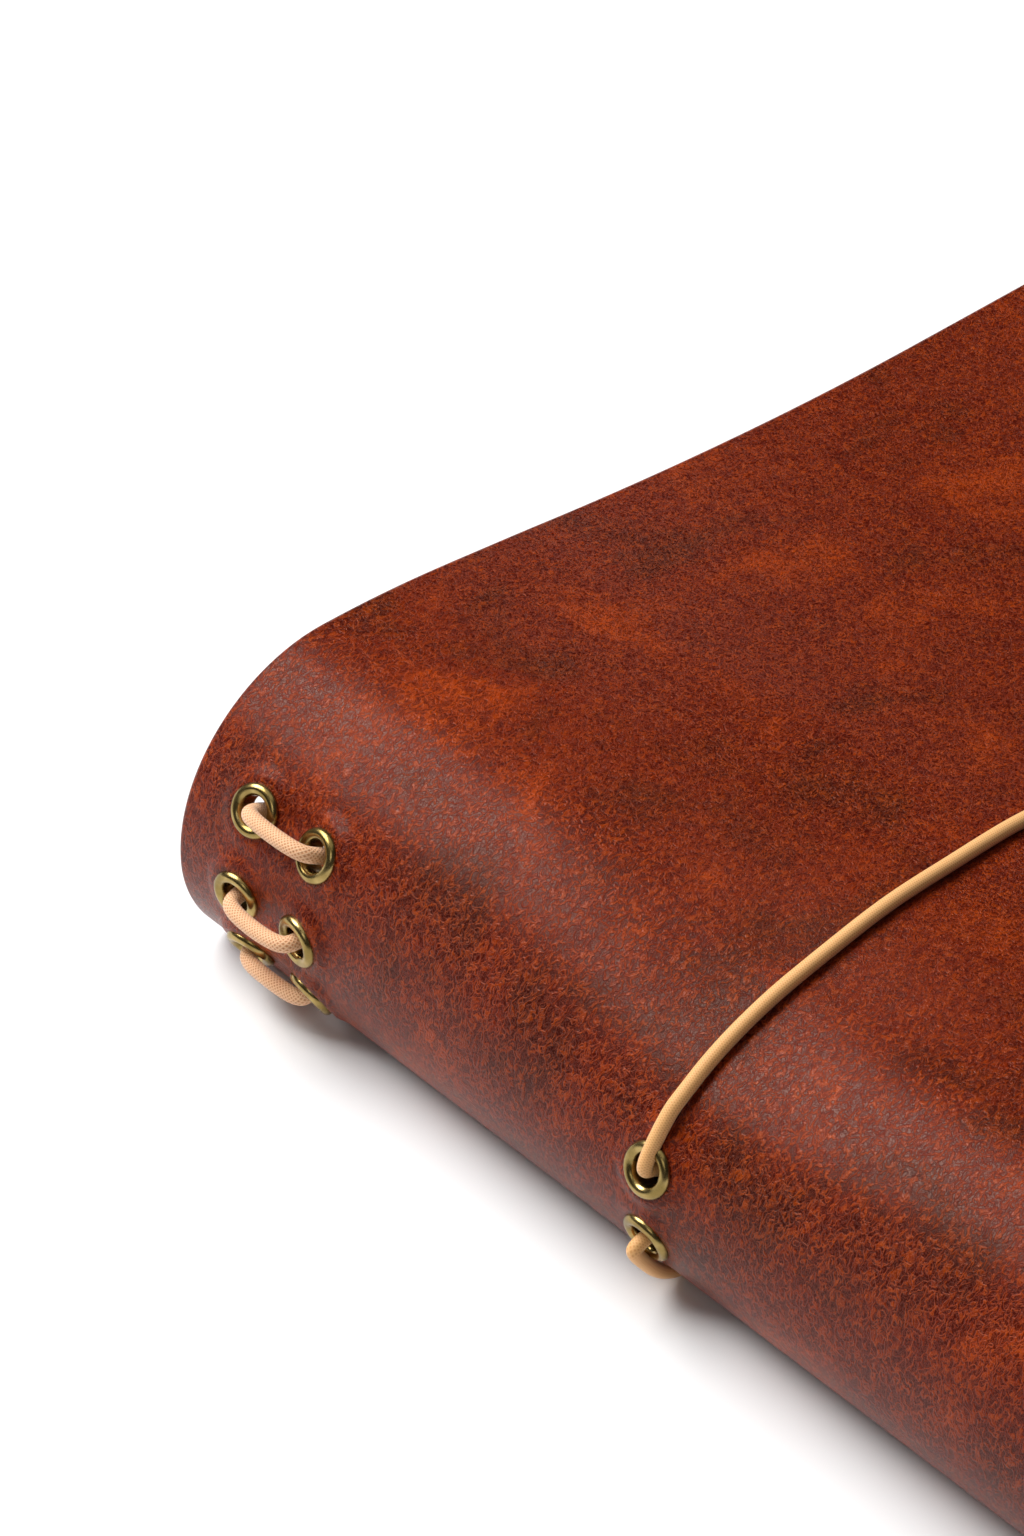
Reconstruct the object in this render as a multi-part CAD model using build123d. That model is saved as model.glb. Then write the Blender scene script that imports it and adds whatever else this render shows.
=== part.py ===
from build123d import *
import os
from math import cos, degrees, radians, sin, tan

# Brush roll case: a thick leather cover folded like a book round three brush leaves.
# Each leaf hangs on an elastic laced through brass eyelets in the spine, and one longer
# elastic, laced through two eyelets in the middle of the spine, goes right round the
# closed case. Millimetres, +Z up, the spine towards -X, the case lying closed.
# A "turn" is an angle on the spine's outside: -90 faces down, 0 faces -X, 90 faces up.

# Cover leather
CASE_LENGTH = 222.0        # along the spine
CASE_WIDTH = 206.0         # spine's outermost line to the fore-edge
CASE_THICKNESS = 50.5      # at the shoulder of the spine
LEATHER = 2.4              # cover leather
HEEL_RADIUS = 10.0         # tight bend where the spine meets the back cover
BELLY_RADIUS = 25.4        # lower half of the spine
HEEL_TURN = 39.0           # turn below the widest line where the heel starts
CROWN_RADIUS = 230.0       # front cover rolling over past the shoulder
HOLLOW_RADIUS = 690.0      # front cover levelling out towards the fore-edge
FALL_ANGLE = 7.4           # slope of the front cover between the two
FALL_LENGTH = 14.0
HINGE_TURN_LOW = -50.0     # fold line between back cover and spine
HINGE_TURN_HIGH = 50.0     # fold line between spine and front cover
FOLD_GAP = 0.3             # slit left at each fold line
CORNER_ROUND = 9.0         # covers' corners, seen from above
EDGE_ROUND = 0.7           # burnished cut edges

# Brass eyelets with their washers
FLANGE_RADIUS = 4.5
FLANGE_HEIGHT = 1.05
BORE_RADIUS = 2.5
BARREL_WALL = 0.35
BARREL_GAP = 0.1           # barrel to the hole in the leather
WASHER_RADIUS = 4.6
WASHER_THICKNESS = 0.4
ROLL_RADIUS = 3.7          # rolled end that holds the washer
ROLL_HEIGHT = 0.5
SEAT_RADIUS = 5.3          # flat seat pressed in the leather round each eyelet
SEAT_LAP = 0.2             # its disc of leather runs this far into the curved leather

# Where the eyelets are: (turn on the spine, pitch of the eyelet's face)
LEAF_ROWS = {"upper": (31.0, 29.0), "middle": (2.0, -2.0), "lower": (-26.0, -31.0)}
CLOSURE_UPPER = (13.0, 21.0)
CLOSURE_LOWER = (-15.5, -17.0)
CLOSURE_Y = 4.0            # the closure eyelets are a little to the far side of the middle
END_MARGIN = 14.4          # outer eyelet of a pair to the end of the spine
PAIR_PITCH = 14.6          # between the two eyelets of a pair
PAIR_TOE = 7.5             # the eyelets of a pair face each other by this angle

# Elastics
LEAF_CORD = 2.5            # diameter
LEAF_CORD_DEPTH = 7.8      # inner run below the outside of the spine
LEAF_CORD_SPREAD = 0.54 * LEAF_CORD   # each of the two inner runs off the middle
LEAF_KNOT = 4.8            # diameter
LEAF_KNOT_OFF = 3.4        # beside the inner runs
LEAF_KNOT_BACK = 9.0       # from the inner eyelet to the knot
RUN_OVER = 5.0             # how far the inner runs go on past the hem or the eyelet
END_RISE = 2.9             # where the run turns up to the outer eyelet, off the middle
LOOP_RISE = 0.3            # middle of a loop above its ends
WIDEST_BEND = 400.0        # largest radius given to a nearly straight corner
LOOP_PROUD = {"upper": 2.7, "middle": 2.8, "lower": 3.1}
LOOP_DROOP = {"upper": 0.4, "middle": 1.8, "lower": 1.6}
CLOSURE_CORD = 2.1         # diameter when stretched round the case
CLOSURE_CLEAR = 0.3        # cord to the leather it goes over
CLOSURE_DEPTH = 4.7        # inner run below the outside of the spine
CLOSURE_KNOT = 3.4         # diameter
CLOSURE_KNOT_PLACE = Vector(0.2, 0, 2.9)   # from the lower end of the inner run
CLOSURE_RISE = 30.0        # slope of the cord as it leaves the upper eyelet, as a turn
CLOSURE_DIVE = -30.5       # and the lower one
CLOSURE_LOOP = 3.1         # how far it stands out of the lower eyelet
HEEL_BEND = 5.0            # bend of the cord at the heel
CROWN_SHARE = 0.96         # its crown is a little tighter than the leather's, with a straight run after it
UNDER_CLEAR = 0.05         # cord to the surface the case lies on
GROOVE_WIDTH = 3.0         # channel for the cord under the back cover
GROOVE_DEPTH = 2.6
RIB_WIDTH = 8.0            # leather pushed up inside by that channel
RIB_HEIGHT = 2.0
RIB_ROUND = 0.7            # share of its height

# Brush leaves
PANEL = 1.5                # panel leather
POCKET = 1.2               # pocket leather, formed into channels
CHANNEL_RADIUS = 9.0       # outside of a brush channel
CHANNEL_COUNT = 6
CHANNEL_PITCH = 27.4
CHANNEL_FIRST = 16.0       # start of the flat panel to the middle of the first channel
CHANNEL_TOP = 46.0         # mouth of the channels along Y
LEAF_END_MARGIN = 6.0      # leaf to the ends of the covers
LEAF_FORE_MARGIN = 10.0    # leaf to the fore-edge
LEAF_START = 24.0          # where the flat panel starts, from the spine's outermost line
UPPER_LEAF_DEPTH = 23.2    # top of the case to the underside of the upper leaf
LEAF_BASE = {"lower": 4.9, "middle": 16.1, "upper": CASE_THICKNESS - UPPER_LEAF_DEPTH}   # underside of each leaf
LEAF_FACE = {"lower": 1, "middle": 1, "upper": -1}          # side that the channels are on
HEM_BORE = 1.12 * LEAF_CORD   # radius of the sleeve round the cords
HEM_WALL = 1.15
HEM_START = 9.0            # the hem is left open in the middle, past the closure cord
HEM_END = 60.0
BINDING = 1.4              # strip closing the foot of the channels


def polar(turn):
    """Outward direction in X and Z at a turn."""
    return Vector(-cos(radians(turn)), 0, sin(radians(turn)))


# Arc centres of the spine's outside, each tangent to the next
widest_z = HEEL_RADIUS + (BELLY_RADIUS - HEEL_RADIUS) * sin(radians(HEEL_TURN))
shoulder_radius = CASE_THICKNESS - widest_z
belly_centre = Vector(BELLY_RADIUS, 0, widest_z)
shoulder_centre = Vector(shoulder_radius, 0, widest_z)
heel_centre = belly_centre + polar(-HEEL_TURN) * (BELLY_RADIUS - HEEL_RADIUS)
ZONES = [(-90.0, -HEEL_TURN, heel_centre, HEEL_RADIUS),
         (-HEEL_TURN, 0.0, belly_centre, BELLY_RADIUS),
         (0.0, 90.0, shoulder_centre, shoulder_radius)]
half_length = CASE_LENGTH / 2
outer_y = half_length - END_MARGIN
inner_y = outer_y - PAIR_PITCH


def spine_point(turn, depth=0.0):
    """Point of the spine at a turn, a depth below its outside."""
    for first, last, centre, radius in ZONES:
        if first <= turn <= last:
            return centre + polar(turn) * (radius - depth)


def spine_arcs(first_turn, last_turn, depth):
    """The spine's arcs between two turns, offset inwards by a depth, in the X-Z sketch."""
    arcs = []
    for first, last, centre, radius in ZONES:
        start, stop = max(first, first_turn), min(last, last_turn)
        if stop - start > 0.01:
            arcs.append(CenterArc((centre.X, centre.Z), radius - depth, 180 - start, start - stop))
    return arcs


def line_between(start, stop):
    """Line in the X-Z sketch between two model points."""
    return Line((start.X, start.Z), (stop.X, stop.Z))


def prism(edges, low_y, high_y):
    """Solid of one closed X-Z outline, from one Y to another."""
    face = make_face(Curve() + edges)
    return extrude(Plane.XZ.offset(-high_y) * face, high_y - low_y)


def front_edges(depth):
    """Front cover past the shoulder to the fore-edge, offset inwards by a depth."""
    fall = radians(FALL_ANGLE)
    slope, lift = Vector(cos(fall), 0, -sin(fall)), Vector(sin(fall), 0, cos(fall))
    crown_centre = Vector(shoulder_radius, 0, CASE_THICKNESS - CROWN_RADIUS)
    crown_end = crown_centre + lift * (CROWN_RADIUS - depth)
    fall_end = crown_end + slope * FALL_LENGTH
    hollow_centre = fall_end + lift * (HOLLOW_RADIUS + depth)
    hollow_end = hollow_centre - Vector(0, 0, HOLLOW_RADIUS + depth)
    fore_edge = Vector(CASE_WIDTH, 0, hollow_end.Z)
    edges = [
        CenterArc((crown_centre.X, crown_centre.Z), CROWN_RADIUS - depth, 90, -FALL_ANGLE),
        line_between(crown_end, fall_end),
        CenterArc((hollow_centre.X, hollow_centre.Z), HOLLOW_RADIUS + depth, 270 - FALL_ANGLE, FALL_ANGLE),
        line_between(hollow_end, fore_edge),
    ]
    return edges, fore_edge


def rounded_cover(solid):
    """Round a cover's two free corners and its cut edges there."""
    corners = solid.edges().filter_by(Axis.Z).group_by(Axis.X)[-1]
    solid = fillet(corners, CORNER_ROUND)
    edge_lines = solid.edges().filter_by(Axis.Y).group_by(Axis.X)[-1]
    return fillet(edge_lines, EDGE_ROUND)


def half_slit(turn):
    """Half the fold's slit as a turn on the arc that carries it."""
    radius = next(zone[3] for zone in ZONES if zone[0] <= turn <= zone[1])
    return degrees(FOLD_GAP / 2 / radius)


def make_back_cover():
    """Flat back cover, with the heel of the spine up to the lower fold line."""
    last = HINGE_TURN_LOW - half_slit(HINGE_TURN_LOW)
    heel_start = spine_point(-90, 0)
    fore_low, fore_high = Vector(CASE_WIDTH, 0, 0), Vector(CASE_WIDTH, 0, LEATHER)
    edges = [line_between(fore_low, heel_start)] + spine_arcs(-90, last, 0)
    edges += [line_between(spine_point(last), spine_point(last, LEATHER))]
    edges += spine_arcs(-90, last, LEATHER) + [line_between(spine_point(-90, LEATHER), fore_high)]
    edges += [line_between(fore_high, fore_low)]
    cover = rounded_cover(prism(edges, -half_length, half_length))
    rib_length = CASE_WIDTH - heel_start.X
    rib = Pos(heel_start.X + rib_length / 2, CLOSURE_Y, LEATHER + RIB_HEIGHT / 2) * Box(
        rib_length, RIB_WIDTH, RIB_HEIGHT)
    rib = fillet(rib.edges().filter_by(Axis.X).group_by(Axis.Z)[-1], RIB_HEIGHT * RIB_ROUND)
    groove = Pos(CASE_WIDTH / 2, CLOSURE_Y, GROOVE_DEPTH / 2) * Box(1.1 * CASE_WIDTH, GROOVE_WIDTH, GROOVE_DEPTH)
    return cover + rib - groove


def make_front_cover():
    """Front cover, with the spine's shoulder down to the upper fold line."""
    first = HINGE_TURN_HIGH + half_slit(HINGE_TURN_HIGH)
    outside, fore_outside = front_edges(0)
    inside, fore_inside = front_edges(LEATHER)
    edges = spine_arcs(first, 90, 0) + outside + [line_between(fore_outside, fore_inside)]
    edges += inside + spine_arcs(first, 90, LEATHER)
    edges += [line_between(spine_point(first), spine_point(first, LEATHER))]
    return rounded_cover(prism(edges, -half_length, half_length))


def seat_plane(row, y, toe=0.0):
    """Plane of an eyelet: its origin on the spine's outside, its Z axis facing out."""
    turn, pitch = row
    flat = polar(pitch)
    facing = Vector(flat.X * cos(radians(toe)), sin(radians(toe)), flat.Z * cos(radians(toe)))
    upward = facing.cross(Vector(0, 1, 0)).normalized()
    along = upward.cross(facing).normalized()
    return Plane(origin=spine_point(turn) + Vector(0, y, 0), x_dir=along, z_dir=facing)


def pair_planes(row, end):
    """The two eyelets of one row at one end of the spine, outer one first."""
    return [seat_plane(row, end * outer_y, -end * PAIR_TOE), seat_plane(row, end * inner_y, end * PAIR_TOE)]


closure_planes = [seat_plane(CLOSURE_UPPER, CLOSURE_Y), seat_plane(CLOSURE_LOWER, CLOSURE_Y)]
far_planes = [plane for row in LEAF_ROWS.values() for plane in pair_planes(row, 1)]
near_planes = [plane for row in LEAF_ROWS.values() for plane in pair_planes(row, -1)]


def make_spine():
    """Rounded spine between the fold lines, with a flat seat and a hole at each eyelet."""
    first = HINGE_TURN_LOW + half_slit(HINGE_TURN_LOW)
    last = HINGE_TURN_HIGH - half_slit(HINGE_TURN_HIGH)
    edges = spine_arcs(first, last, 0) + spine_arcs(first, last, LEATHER)
    edges += [line_between(spine_point(turn), spine_point(turn, LEATHER)) for turn in (first, last)]
    spine = prism(edges, -half_length, half_length)
    hole_radius = BORE_RADIUS + BARREL_WALL + BARREL_GAP
    for plane in far_planes + near_planes + closure_planes:
        spine -= plane * Pos(0, 0, LEATHER / 2) * Cylinder(SEAT_RADIUS, LEATHER)
        spine -= plane * Pos(0, 0, -LEATHER * 1.5) * Cylinder(SEAT_RADIUS, LEATHER)
        spine += plane * Pos(0, 0, -LEATHER / 2) * Cylinder(SEAT_RADIUS + SEAT_LAP, LEATHER)
        spine -= plane * Cylinder(hole_radius, 4 * LEATHER)
    return spine


def make_eyelet():
    """Eyelet along Z: domed flange at Z = 0, barrel, and the end rolled over the washer."""
    barrel_radius = BORE_RADIUS + BARREL_WALL
    washer_face = -LEATHER - WASHER_THICKNESS
    middle_radius = (FLANGE_RADIUS + BORE_RADIUS) / 2
    crest = Vector(middle_radius, FLANGE_HEIGHT)
    section = make_face(Curve() + [
        ThreePointArc((FLANGE_RADIUS, 0), (FLANGE_RADIUS - 0.3, FLANGE_HEIGHT * 0.72), crest),
        ThreePointArc(crest, (BORE_RADIUS + 0.28, FLANGE_HEIGHT * 0.7), (BORE_RADIUS, 0)),
        Line((BORE_RADIUS, 0), (BORE_RADIUS, washer_face)),
        ThreePointArc((BORE_RADIUS, washer_face), (BORE_RADIUS + 0.5, washer_face - ROLL_HEIGHT),
                      (ROLL_RADIUS, washer_face)),
        Line((ROLL_RADIUS, washer_face), (barrel_radius, washer_face)),
        Line((barrel_radius, washer_face), (barrel_radius, 0)),
        Line((barrel_radius, 0), (FLANGE_RADIUS, 0)),
    ])
    return revolve(Plane.XZ * section, Axis.Z)


def make_washer():
    """Flat washer inside the spine, held by the eyelet's rolled end."""
    washer = Cylinder(WASHER_RADIUS, WASHER_THICKNESS) - Cylinder(
        BORE_RADIUS + BARREL_WALL + BARREL_GAP, WASHER_THICKNESS)
    return Pos(0, 0, -LEATHER - WASHER_THICKNESS / 2) * washer


def bend_radii(points, tight=None):
    """A radius for each corner: 0.45 of its shorter run over the tangent of half its turn."""
    radii = []
    for before, here, after in zip(points, points[1:], points[2:]):
        turn = (here - before).get_angle(after - here)
        run = min((here - before).length, (after - here).length)
        radii.append(min(0.45 * run / tan(radians(turn / 2)), WIDEST_BEND))
    for index, radius in (tight or {}).items():
        radii[index] = radius
    return radii


def cord(points, diameter, radii):
    """Round cord along straight runs joined by tangent arcs."""
    path = FilletPolyline(*points, radius=radii)
    section = Plane(origin=path @ 0, z_dir=path % 0) * Circle(diameter / 2)
    solid = sweep(section, path=path)
    print(f"cord length {path.length:.1f}, tightest bend {min(radii):.2f}, "
          f"volume over section times length {solid.volume / (path.length * section.area):.4f}")
    return solid


def make_leaf_cord(name):
    """Elastic of one leaf: a double run inside the spine and a loop outside at each end."""
    turn, pitch = LEAF_ROWS[name]
    outward = polar(pitch)
    upward = Vector(sin(radians(pitch)), 0, cos(radians(pitch)))
    origin = spine_point(turn)
    proud, droop, deep = LOOP_PROUD[name], LOOP_DROOP[name], -LEAF_CORD_DEPTH

    def place(across, height, y):
        return origin + upward * across + outward * height + Vector(0, y, 0)

    def end_points(end):
        return [place(END_RISE, deep, end * (inner_y + RUN_OVER)), place(0, deep, end * outer_y),
                place(0, proud, end * outer_y), place(-droop, proud + LOOP_RISE, end * (outer_y + inner_y) / 2),
                place(0, proud, end * inner_y), place(0, deep, end * inner_y),
                place(-LEAF_CORD_SPREAD, deep, end * (HEM_END + RUN_OVER))]

    knot_centre = place(LEAF_KNOT_OFF, deep, inner_y - LEAF_KNOT_BACK)
    tail = Vector(0, 1, 0)
    points = [knot_centre + tail] + end_points(1) + end_points(-1)[::-1]
    points += [place(LEAF_CORD_SPREAD, deep, -HEM_END - 3), place(LEAF_CORD_SPREAD, deep, HEM_END + 1),
               knot_centre - tail]
    return cord(points, LEAF_CORD, bend_radii(points)) + Pos(*knot_centre) * Sphere(LEAF_KNOT / 2)


def meeting(point_a, direction_a, point_b, direction_b):
    """Where two lines in the X-Z plane meet."""
    cross = direction_a.X * direction_b.Z - direction_a.Z * direction_b.X
    gap = point_b - point_a
    return point_a + direction_a * ((gap.X * direction_b.Z - gap.Z * direction_b.X) / cross)


def make_closure_cord():
    """Elastic round the closed case, from one middle eyelet to the other, knotted inside."""
    off = CLOSURE_CORD / 2 + CLOSURE_CLEAR
    upper, lower = seat_plane(CLOSURE_UPPER, 0), seat_plane(CLOSURE_LOWER, 0)
    fall = radians(FALL_ANGLE)
    rise = Vector(sin(radians(CLOSURE_RISE)), 0, cos(radians(CLOSURE_RISE)))
    top_z = CASE_THICKNESS + off
    under_z = CLOSURE_CORD / 2 + UNDER_CLEAR
    fore_x = CASE_WIDTH + off
    _, fore_top = front_edges(-off)
    crown_x = shoulder_radius + (CROWN_RADIUS + off) * tan(fall / 2)
    hollow_x = crown_x + (top_z - fore_top.Z) / tan(fall)
    rise_base = spine_point(CLOSURE_RISE, -off)
    shoulder_corner = meeting(rise_base, rise, Vector(0, 0, top_z), Vector(1, 0, 0))
    mouth = meeting(rise_base, rise, upper.origin, upper.z_dir)
    dive = Vector(sin(radians(CLOSURE_DIVE)), 0, cos(radians(CLOSURE_DIVE)))
    lower_mouth = lower.origin + lower.z_dir * CLOSURE_LOOP
    heel_corner = meeting(lower_mouth, dive, Vector(0, 0, under_z), Vector(1, 0, 0))
    inner_low = lower.origin - lower.z_dir * CLOSURE_DEPTH
    knot_centre = inner_low + CLOSURE_KNOT_PLACE
    tail = Vector(0, 0, 0.6)
    points = [knot_centre + tail, upper.origin - upper.z_dir * CLOSURE_DEPTH, mouth, shoulder_corner,
              Vector(crown_x, 0, top_z), Vector(hollow_x, 0, fore_top.Z), Vector(fore_x, 0, fore_top.Z),
              Vector(fore_x, 0, under_z), heel_corner, lower_mouth,
              inner_low, knot_centre - tail]
    crown_radius = CROWN_SHARE * (CROWN_RADIUS + off)
    tight = {2: shoulder_radius + off, 3: crown_radius, 4: HOLLOW_RADIUS - off,
             5: EDGE_ROUND + off, 6: EDGE_ROUND + off, 7: HEEL_BEND}
    band = cord(points, CLOSURE_CORD, bend_radii(points, tight))
    return Pos(0, CLOSURE_Y, 0) * (band + Pos(*knot_centre) * Sphere(CLOSURE_KNOT / 2))


leaf_end_x = CASE_WIDTH - LEAF_FORE_MARGIN
leaf_half = half_length - LEAF_END_MARGIN
channel_xs = [LEAF_START + CHANNEL_FIRST + CHANNEL_PITCH * index for index in range(CHANNEL_COUNT)]


def leaf_levels(name):
    """Z of the panel's outer face, and of the face that the channels are sewn to."""
    side, base = LEAF_FACE[name], LEAF_BASE[name]
    outer_z = base if side > 0 else base + PANEL + CHANNEL_RADIUS
    return outer_z, outer_z + side * PANEL


def make_leaf_panel(name):
    """Panel of a leaf, its spine edge turned round the cords as a hem in two halves."""
    side = LEAF_FACE[name]
    outer_z, sewn_z = leaf_levels(name)
    turn, pitch = LEAF_ROWS[name]
    hem = spine_point(turn) - polar(pitch) * LEAF_CORD_DEPTH
    hem_radius = HEM_BORE + HEM_WALL
    panel = Pos((LEAF_START + leaf_end_x) / 2, 0, (outer_z + sewn_z) / 2) * Box(
        leaf_end_x - LEAF_START, 2 * leaf_half, PANEL)
    low, high = hem.Z - side * hem_radius, hem.Z - side * (hem_radius - HEM_WALL)
    web = Polyline((hem.X, low), (LEAF_START, outer_z), (LEAF_START, sewn_z), (hem.X, high), close=True)
    for end in (1, -1):
        low_y, high_y = sorted((end * HEM_START, end * HEM_END))
        middle = Pos(hem.X, (low_y + high_y) / 2, hem.Z) * Rot(90, 0, 0)
        panel += prism(web.edges(), low_y, high_y) + middle * Cylinder(hem_radius, high_y - low_y)
        panel -= middle * Cylinder(HEM_BORE, high_y - low_y + 2)
    return panel


def make_leaf_pocket(name):
    """Pocket leather of a leaf, formed into a row of brush channels."""
    side = LEAF_FACE[name]
    _, sewn_z = leaf_levels(name)
    length = leaf_half + CHANNEL_TOP - BINDING
    middle_y = CHANNEL_TOP - length / 2
    strip = Pos((LEAF_START + leaf_end_x) / 2, middle_y, sewn_z + side * POCKET / 2) * Box(
        leaf_end_x - LEAF_START, length, POCKET)
    keep = Pos((LEAF_START + leaf_end_x) / 2, middle_y, sewn_z + side * CHANNEL_RADIUS) * Box(
        leaf_end_x - LEAF_START, length, 2 * CHANNEL_RADIUS)
    for x in channel_xs:
        strip += keep & (Pos(x, middle_y, sewn_z) * Rot(90, 0, 0) * Cylinder(CHANNEL_RADIUS, length))
        strip -= Pos(x, middle_y, sewn_z) * Rot(90, 0, 0) * Cylinder(CHANNEL_RADIUS - POCKET, length)
    return strip


def make_leaf_binding(name):
    """Strip sewn across the foot of a leaf, which closes its channels."""
    side = LEAF_FACE[name]
    _, sewn_z = leaf_levels(name)
    return Pos((LEAF_START + leaf_end_x) / 2, -leaf_half + BINDING / 2,
               sewn_z + side * CHANNEL_RADIUS / 2) * Box(leaf_end_x - LEAF_START, BINDING, CHANNEL_RADIUS)


def copies(planes, piece):
    """A group of separate solids, one on each plane."""
    return Compound(children=[plane * piece for plane in planes])


nodes = {"back_cover": make_back_cover(), "spine": make_spine(), "front_cover": make_front_cover()}
for place_name, planes in (("far", far_planes), ("near", near_planes), ("closure", closure_planes)):
    nodes[f"{place_name}_eyelets"] = copies(planes, make_eyelet())
    nodes[f"{place_name}_washers"] = copies(planes, make_washer())
nodes["closure_elastic"] = make_closure_cord()
for leaf_name in LEAF_ROWS:
    nodes[f"{leaf_name}_leaf_elastic"] = make_leaf_cord(leaf_name)
    nodes[f"{leaf_name}_leaf_panel"] = make_leaf_panel(leaf_name)
    nodes[f"{leaf_name}_leaf_pocket"] = make_leaf_pocket(leaf_name)
    nodes[f"{leaf_name}_leaf_binding"] = make_leaf_binding(leaf_name)

# The origin is the middle of the whole case's box, on the surface that it lies on
box = Compound(children=[Compound(nodes[name].solids()) for name in nodes]).bounding_box()
origin_shift = Pos(-(box.min.X + box.max.X) / 2, -(box.min.Y + box.max.Y) / 2, 0)
print(f"box {box.size}, lowest {box.min.Z:.3f}, model X = design X {-(box.min.X + box.max.X) / 2:+.4f}")
for label, point in (("lower fold", spine_point(HINGE_TURN_LOW)), ("upper fold", spine_point(HINGE_TURN_HIGH))):
    print(label, origin_shift * Pos(*point))
for leaf_name, (leaf_turn, leaf_pitch) in LEAF_ROWS.items():
    print(leaf_name, "hem", origin_shift * Pos(*(spine_point(leaf_turn) - polar(leaf_pitch) * LEAF_CORD_DEPTH)))

os.makedirs("parts", exist_ok=True)
for name, shape in nodes.items():
    export_step(origin_shift * Compound(shape.solids()), f"parts/{name}.step")
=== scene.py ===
"""Brush roll case: a thick leather cover folded round three brush leaves and laced with elastic.

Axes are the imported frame's: X from the spine towards the fore-edge, Y along the spine, Z up from the
surface that the closed case lies on. Sizes are in millimetres until a mesh is written, in metres.
A "turn" is an angle on the spine's outside: -90 faces down, 0 faces the spine's side, 90 faces up.
"""

from __future__ import annotations

import logging
import math
from dataclasses import dataclass, field
from enum import Enum

import bpy
import numpy as np
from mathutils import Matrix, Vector, noise

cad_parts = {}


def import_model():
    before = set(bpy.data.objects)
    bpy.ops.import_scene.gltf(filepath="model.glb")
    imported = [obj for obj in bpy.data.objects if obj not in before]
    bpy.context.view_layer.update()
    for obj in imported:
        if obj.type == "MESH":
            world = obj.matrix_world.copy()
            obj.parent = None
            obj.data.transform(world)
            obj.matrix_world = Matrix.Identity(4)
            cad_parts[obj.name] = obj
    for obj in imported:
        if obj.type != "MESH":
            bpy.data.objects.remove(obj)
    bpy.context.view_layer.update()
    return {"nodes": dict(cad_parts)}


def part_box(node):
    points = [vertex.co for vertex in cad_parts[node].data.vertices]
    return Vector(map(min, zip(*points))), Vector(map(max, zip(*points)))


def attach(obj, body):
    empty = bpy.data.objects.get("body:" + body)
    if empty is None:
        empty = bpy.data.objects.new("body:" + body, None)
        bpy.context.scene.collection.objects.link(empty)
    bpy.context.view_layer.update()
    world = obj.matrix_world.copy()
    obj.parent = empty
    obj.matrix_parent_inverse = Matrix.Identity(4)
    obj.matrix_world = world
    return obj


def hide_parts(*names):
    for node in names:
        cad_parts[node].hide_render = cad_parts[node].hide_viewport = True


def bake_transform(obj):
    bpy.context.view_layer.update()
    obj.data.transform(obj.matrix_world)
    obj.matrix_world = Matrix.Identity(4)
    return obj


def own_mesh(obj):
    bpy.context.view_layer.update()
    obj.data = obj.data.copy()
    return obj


MM = 0.001
ALONG = np.array([0.0, 1.0, 0.0])
log = logging.getLogger("brush_roll_case")


class End(Enum):
    """The two ends of the spine."""

    FAR = 1
    NEAR = -1


class Face(Enum):
    """The side of a leaf that its brush channels are sewn to."""

    UPPER = 1
    UNDER = -1


def smoothstep(value: np.ndarray, low: float, high: float) -> np.ndarray:
    """Rise smoothly from 0 at low to 1 at high."""
    t = np.clip((value - low) / (high - low), 0.0, 1.0)
    return t * t * (3.0 - 2.0 * t)


def polar(turn: float) -> np.ndarray:
    """Outward direction of the spine at a turn."""
    return np.array([-math.cos(math.radians(turn)), 0.0, math.sin(math.radians(turn))])


def unit(vectors: np.ndarray) -> np.ndarray:
    """Vectors brought to length 1 along their last axis."""
    return vectors / np.maximum(np.linalg.norm(vectors, axis=-1, keepdims=True), 1e-12)


def steps(start: float, stop: float, spacing: float) -> np.ndarray:
    """Evenly spaced numbers from start up to, but not including, stop."""
    count = max(1, round(abs(stop - start) / spacing))
    return np.linspace(start, stop, count, endpoint=False)


# ---------------------------------------------------------------- meshes


def make_object(name: str, points: np.ndarray, faces: list, normals: np.ndarray | None = None) -> bpy.types.Object:
    """Make a smooth-shaded object from points in millimetres.

    Args:
        name: Piece name.
        points: One row of X, Y, Z for each vertex.
        faces: Vertex numbers of each face.
        normals: Shading normal of each vertex, where it isn't to be worked out from the faces.

    Returns:
        The object, linked to the scene.
    """
    mesh = bpy.data.meshes.new(name)
    mesh.from_pydata((points * MM).tolist(), [], faces)
    mesh.polygons.foreach_set("use_smooth", np.ones(len(mesh.polygons), bool))
    if normals is not None:
        mesh.normals_split_custom_set_from_vertices(normals.tolist())
    mesh.validate(clean_customdata=False)
    mesh.update()
    piece = bpy.data.objects.new(name, mesh)
    bpy.context.scene.collection.objects.link(piece)
    return piece


def vertex_normals(points: np.ndarray, faces: np.ndarray) -> np.ndarray:
    """Average the normals of the quads round each vertex."""
    corners = points[faces]
    crosses = np.cross(corners[:, 2] - corners[:, 0], corners[:, 3] - corners[:, 1])
    total = np.zeros_like(points)
    for corner in range(4):
        np.add.at(total, faces[:, corner], crosses)
    return unit(total)


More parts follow.
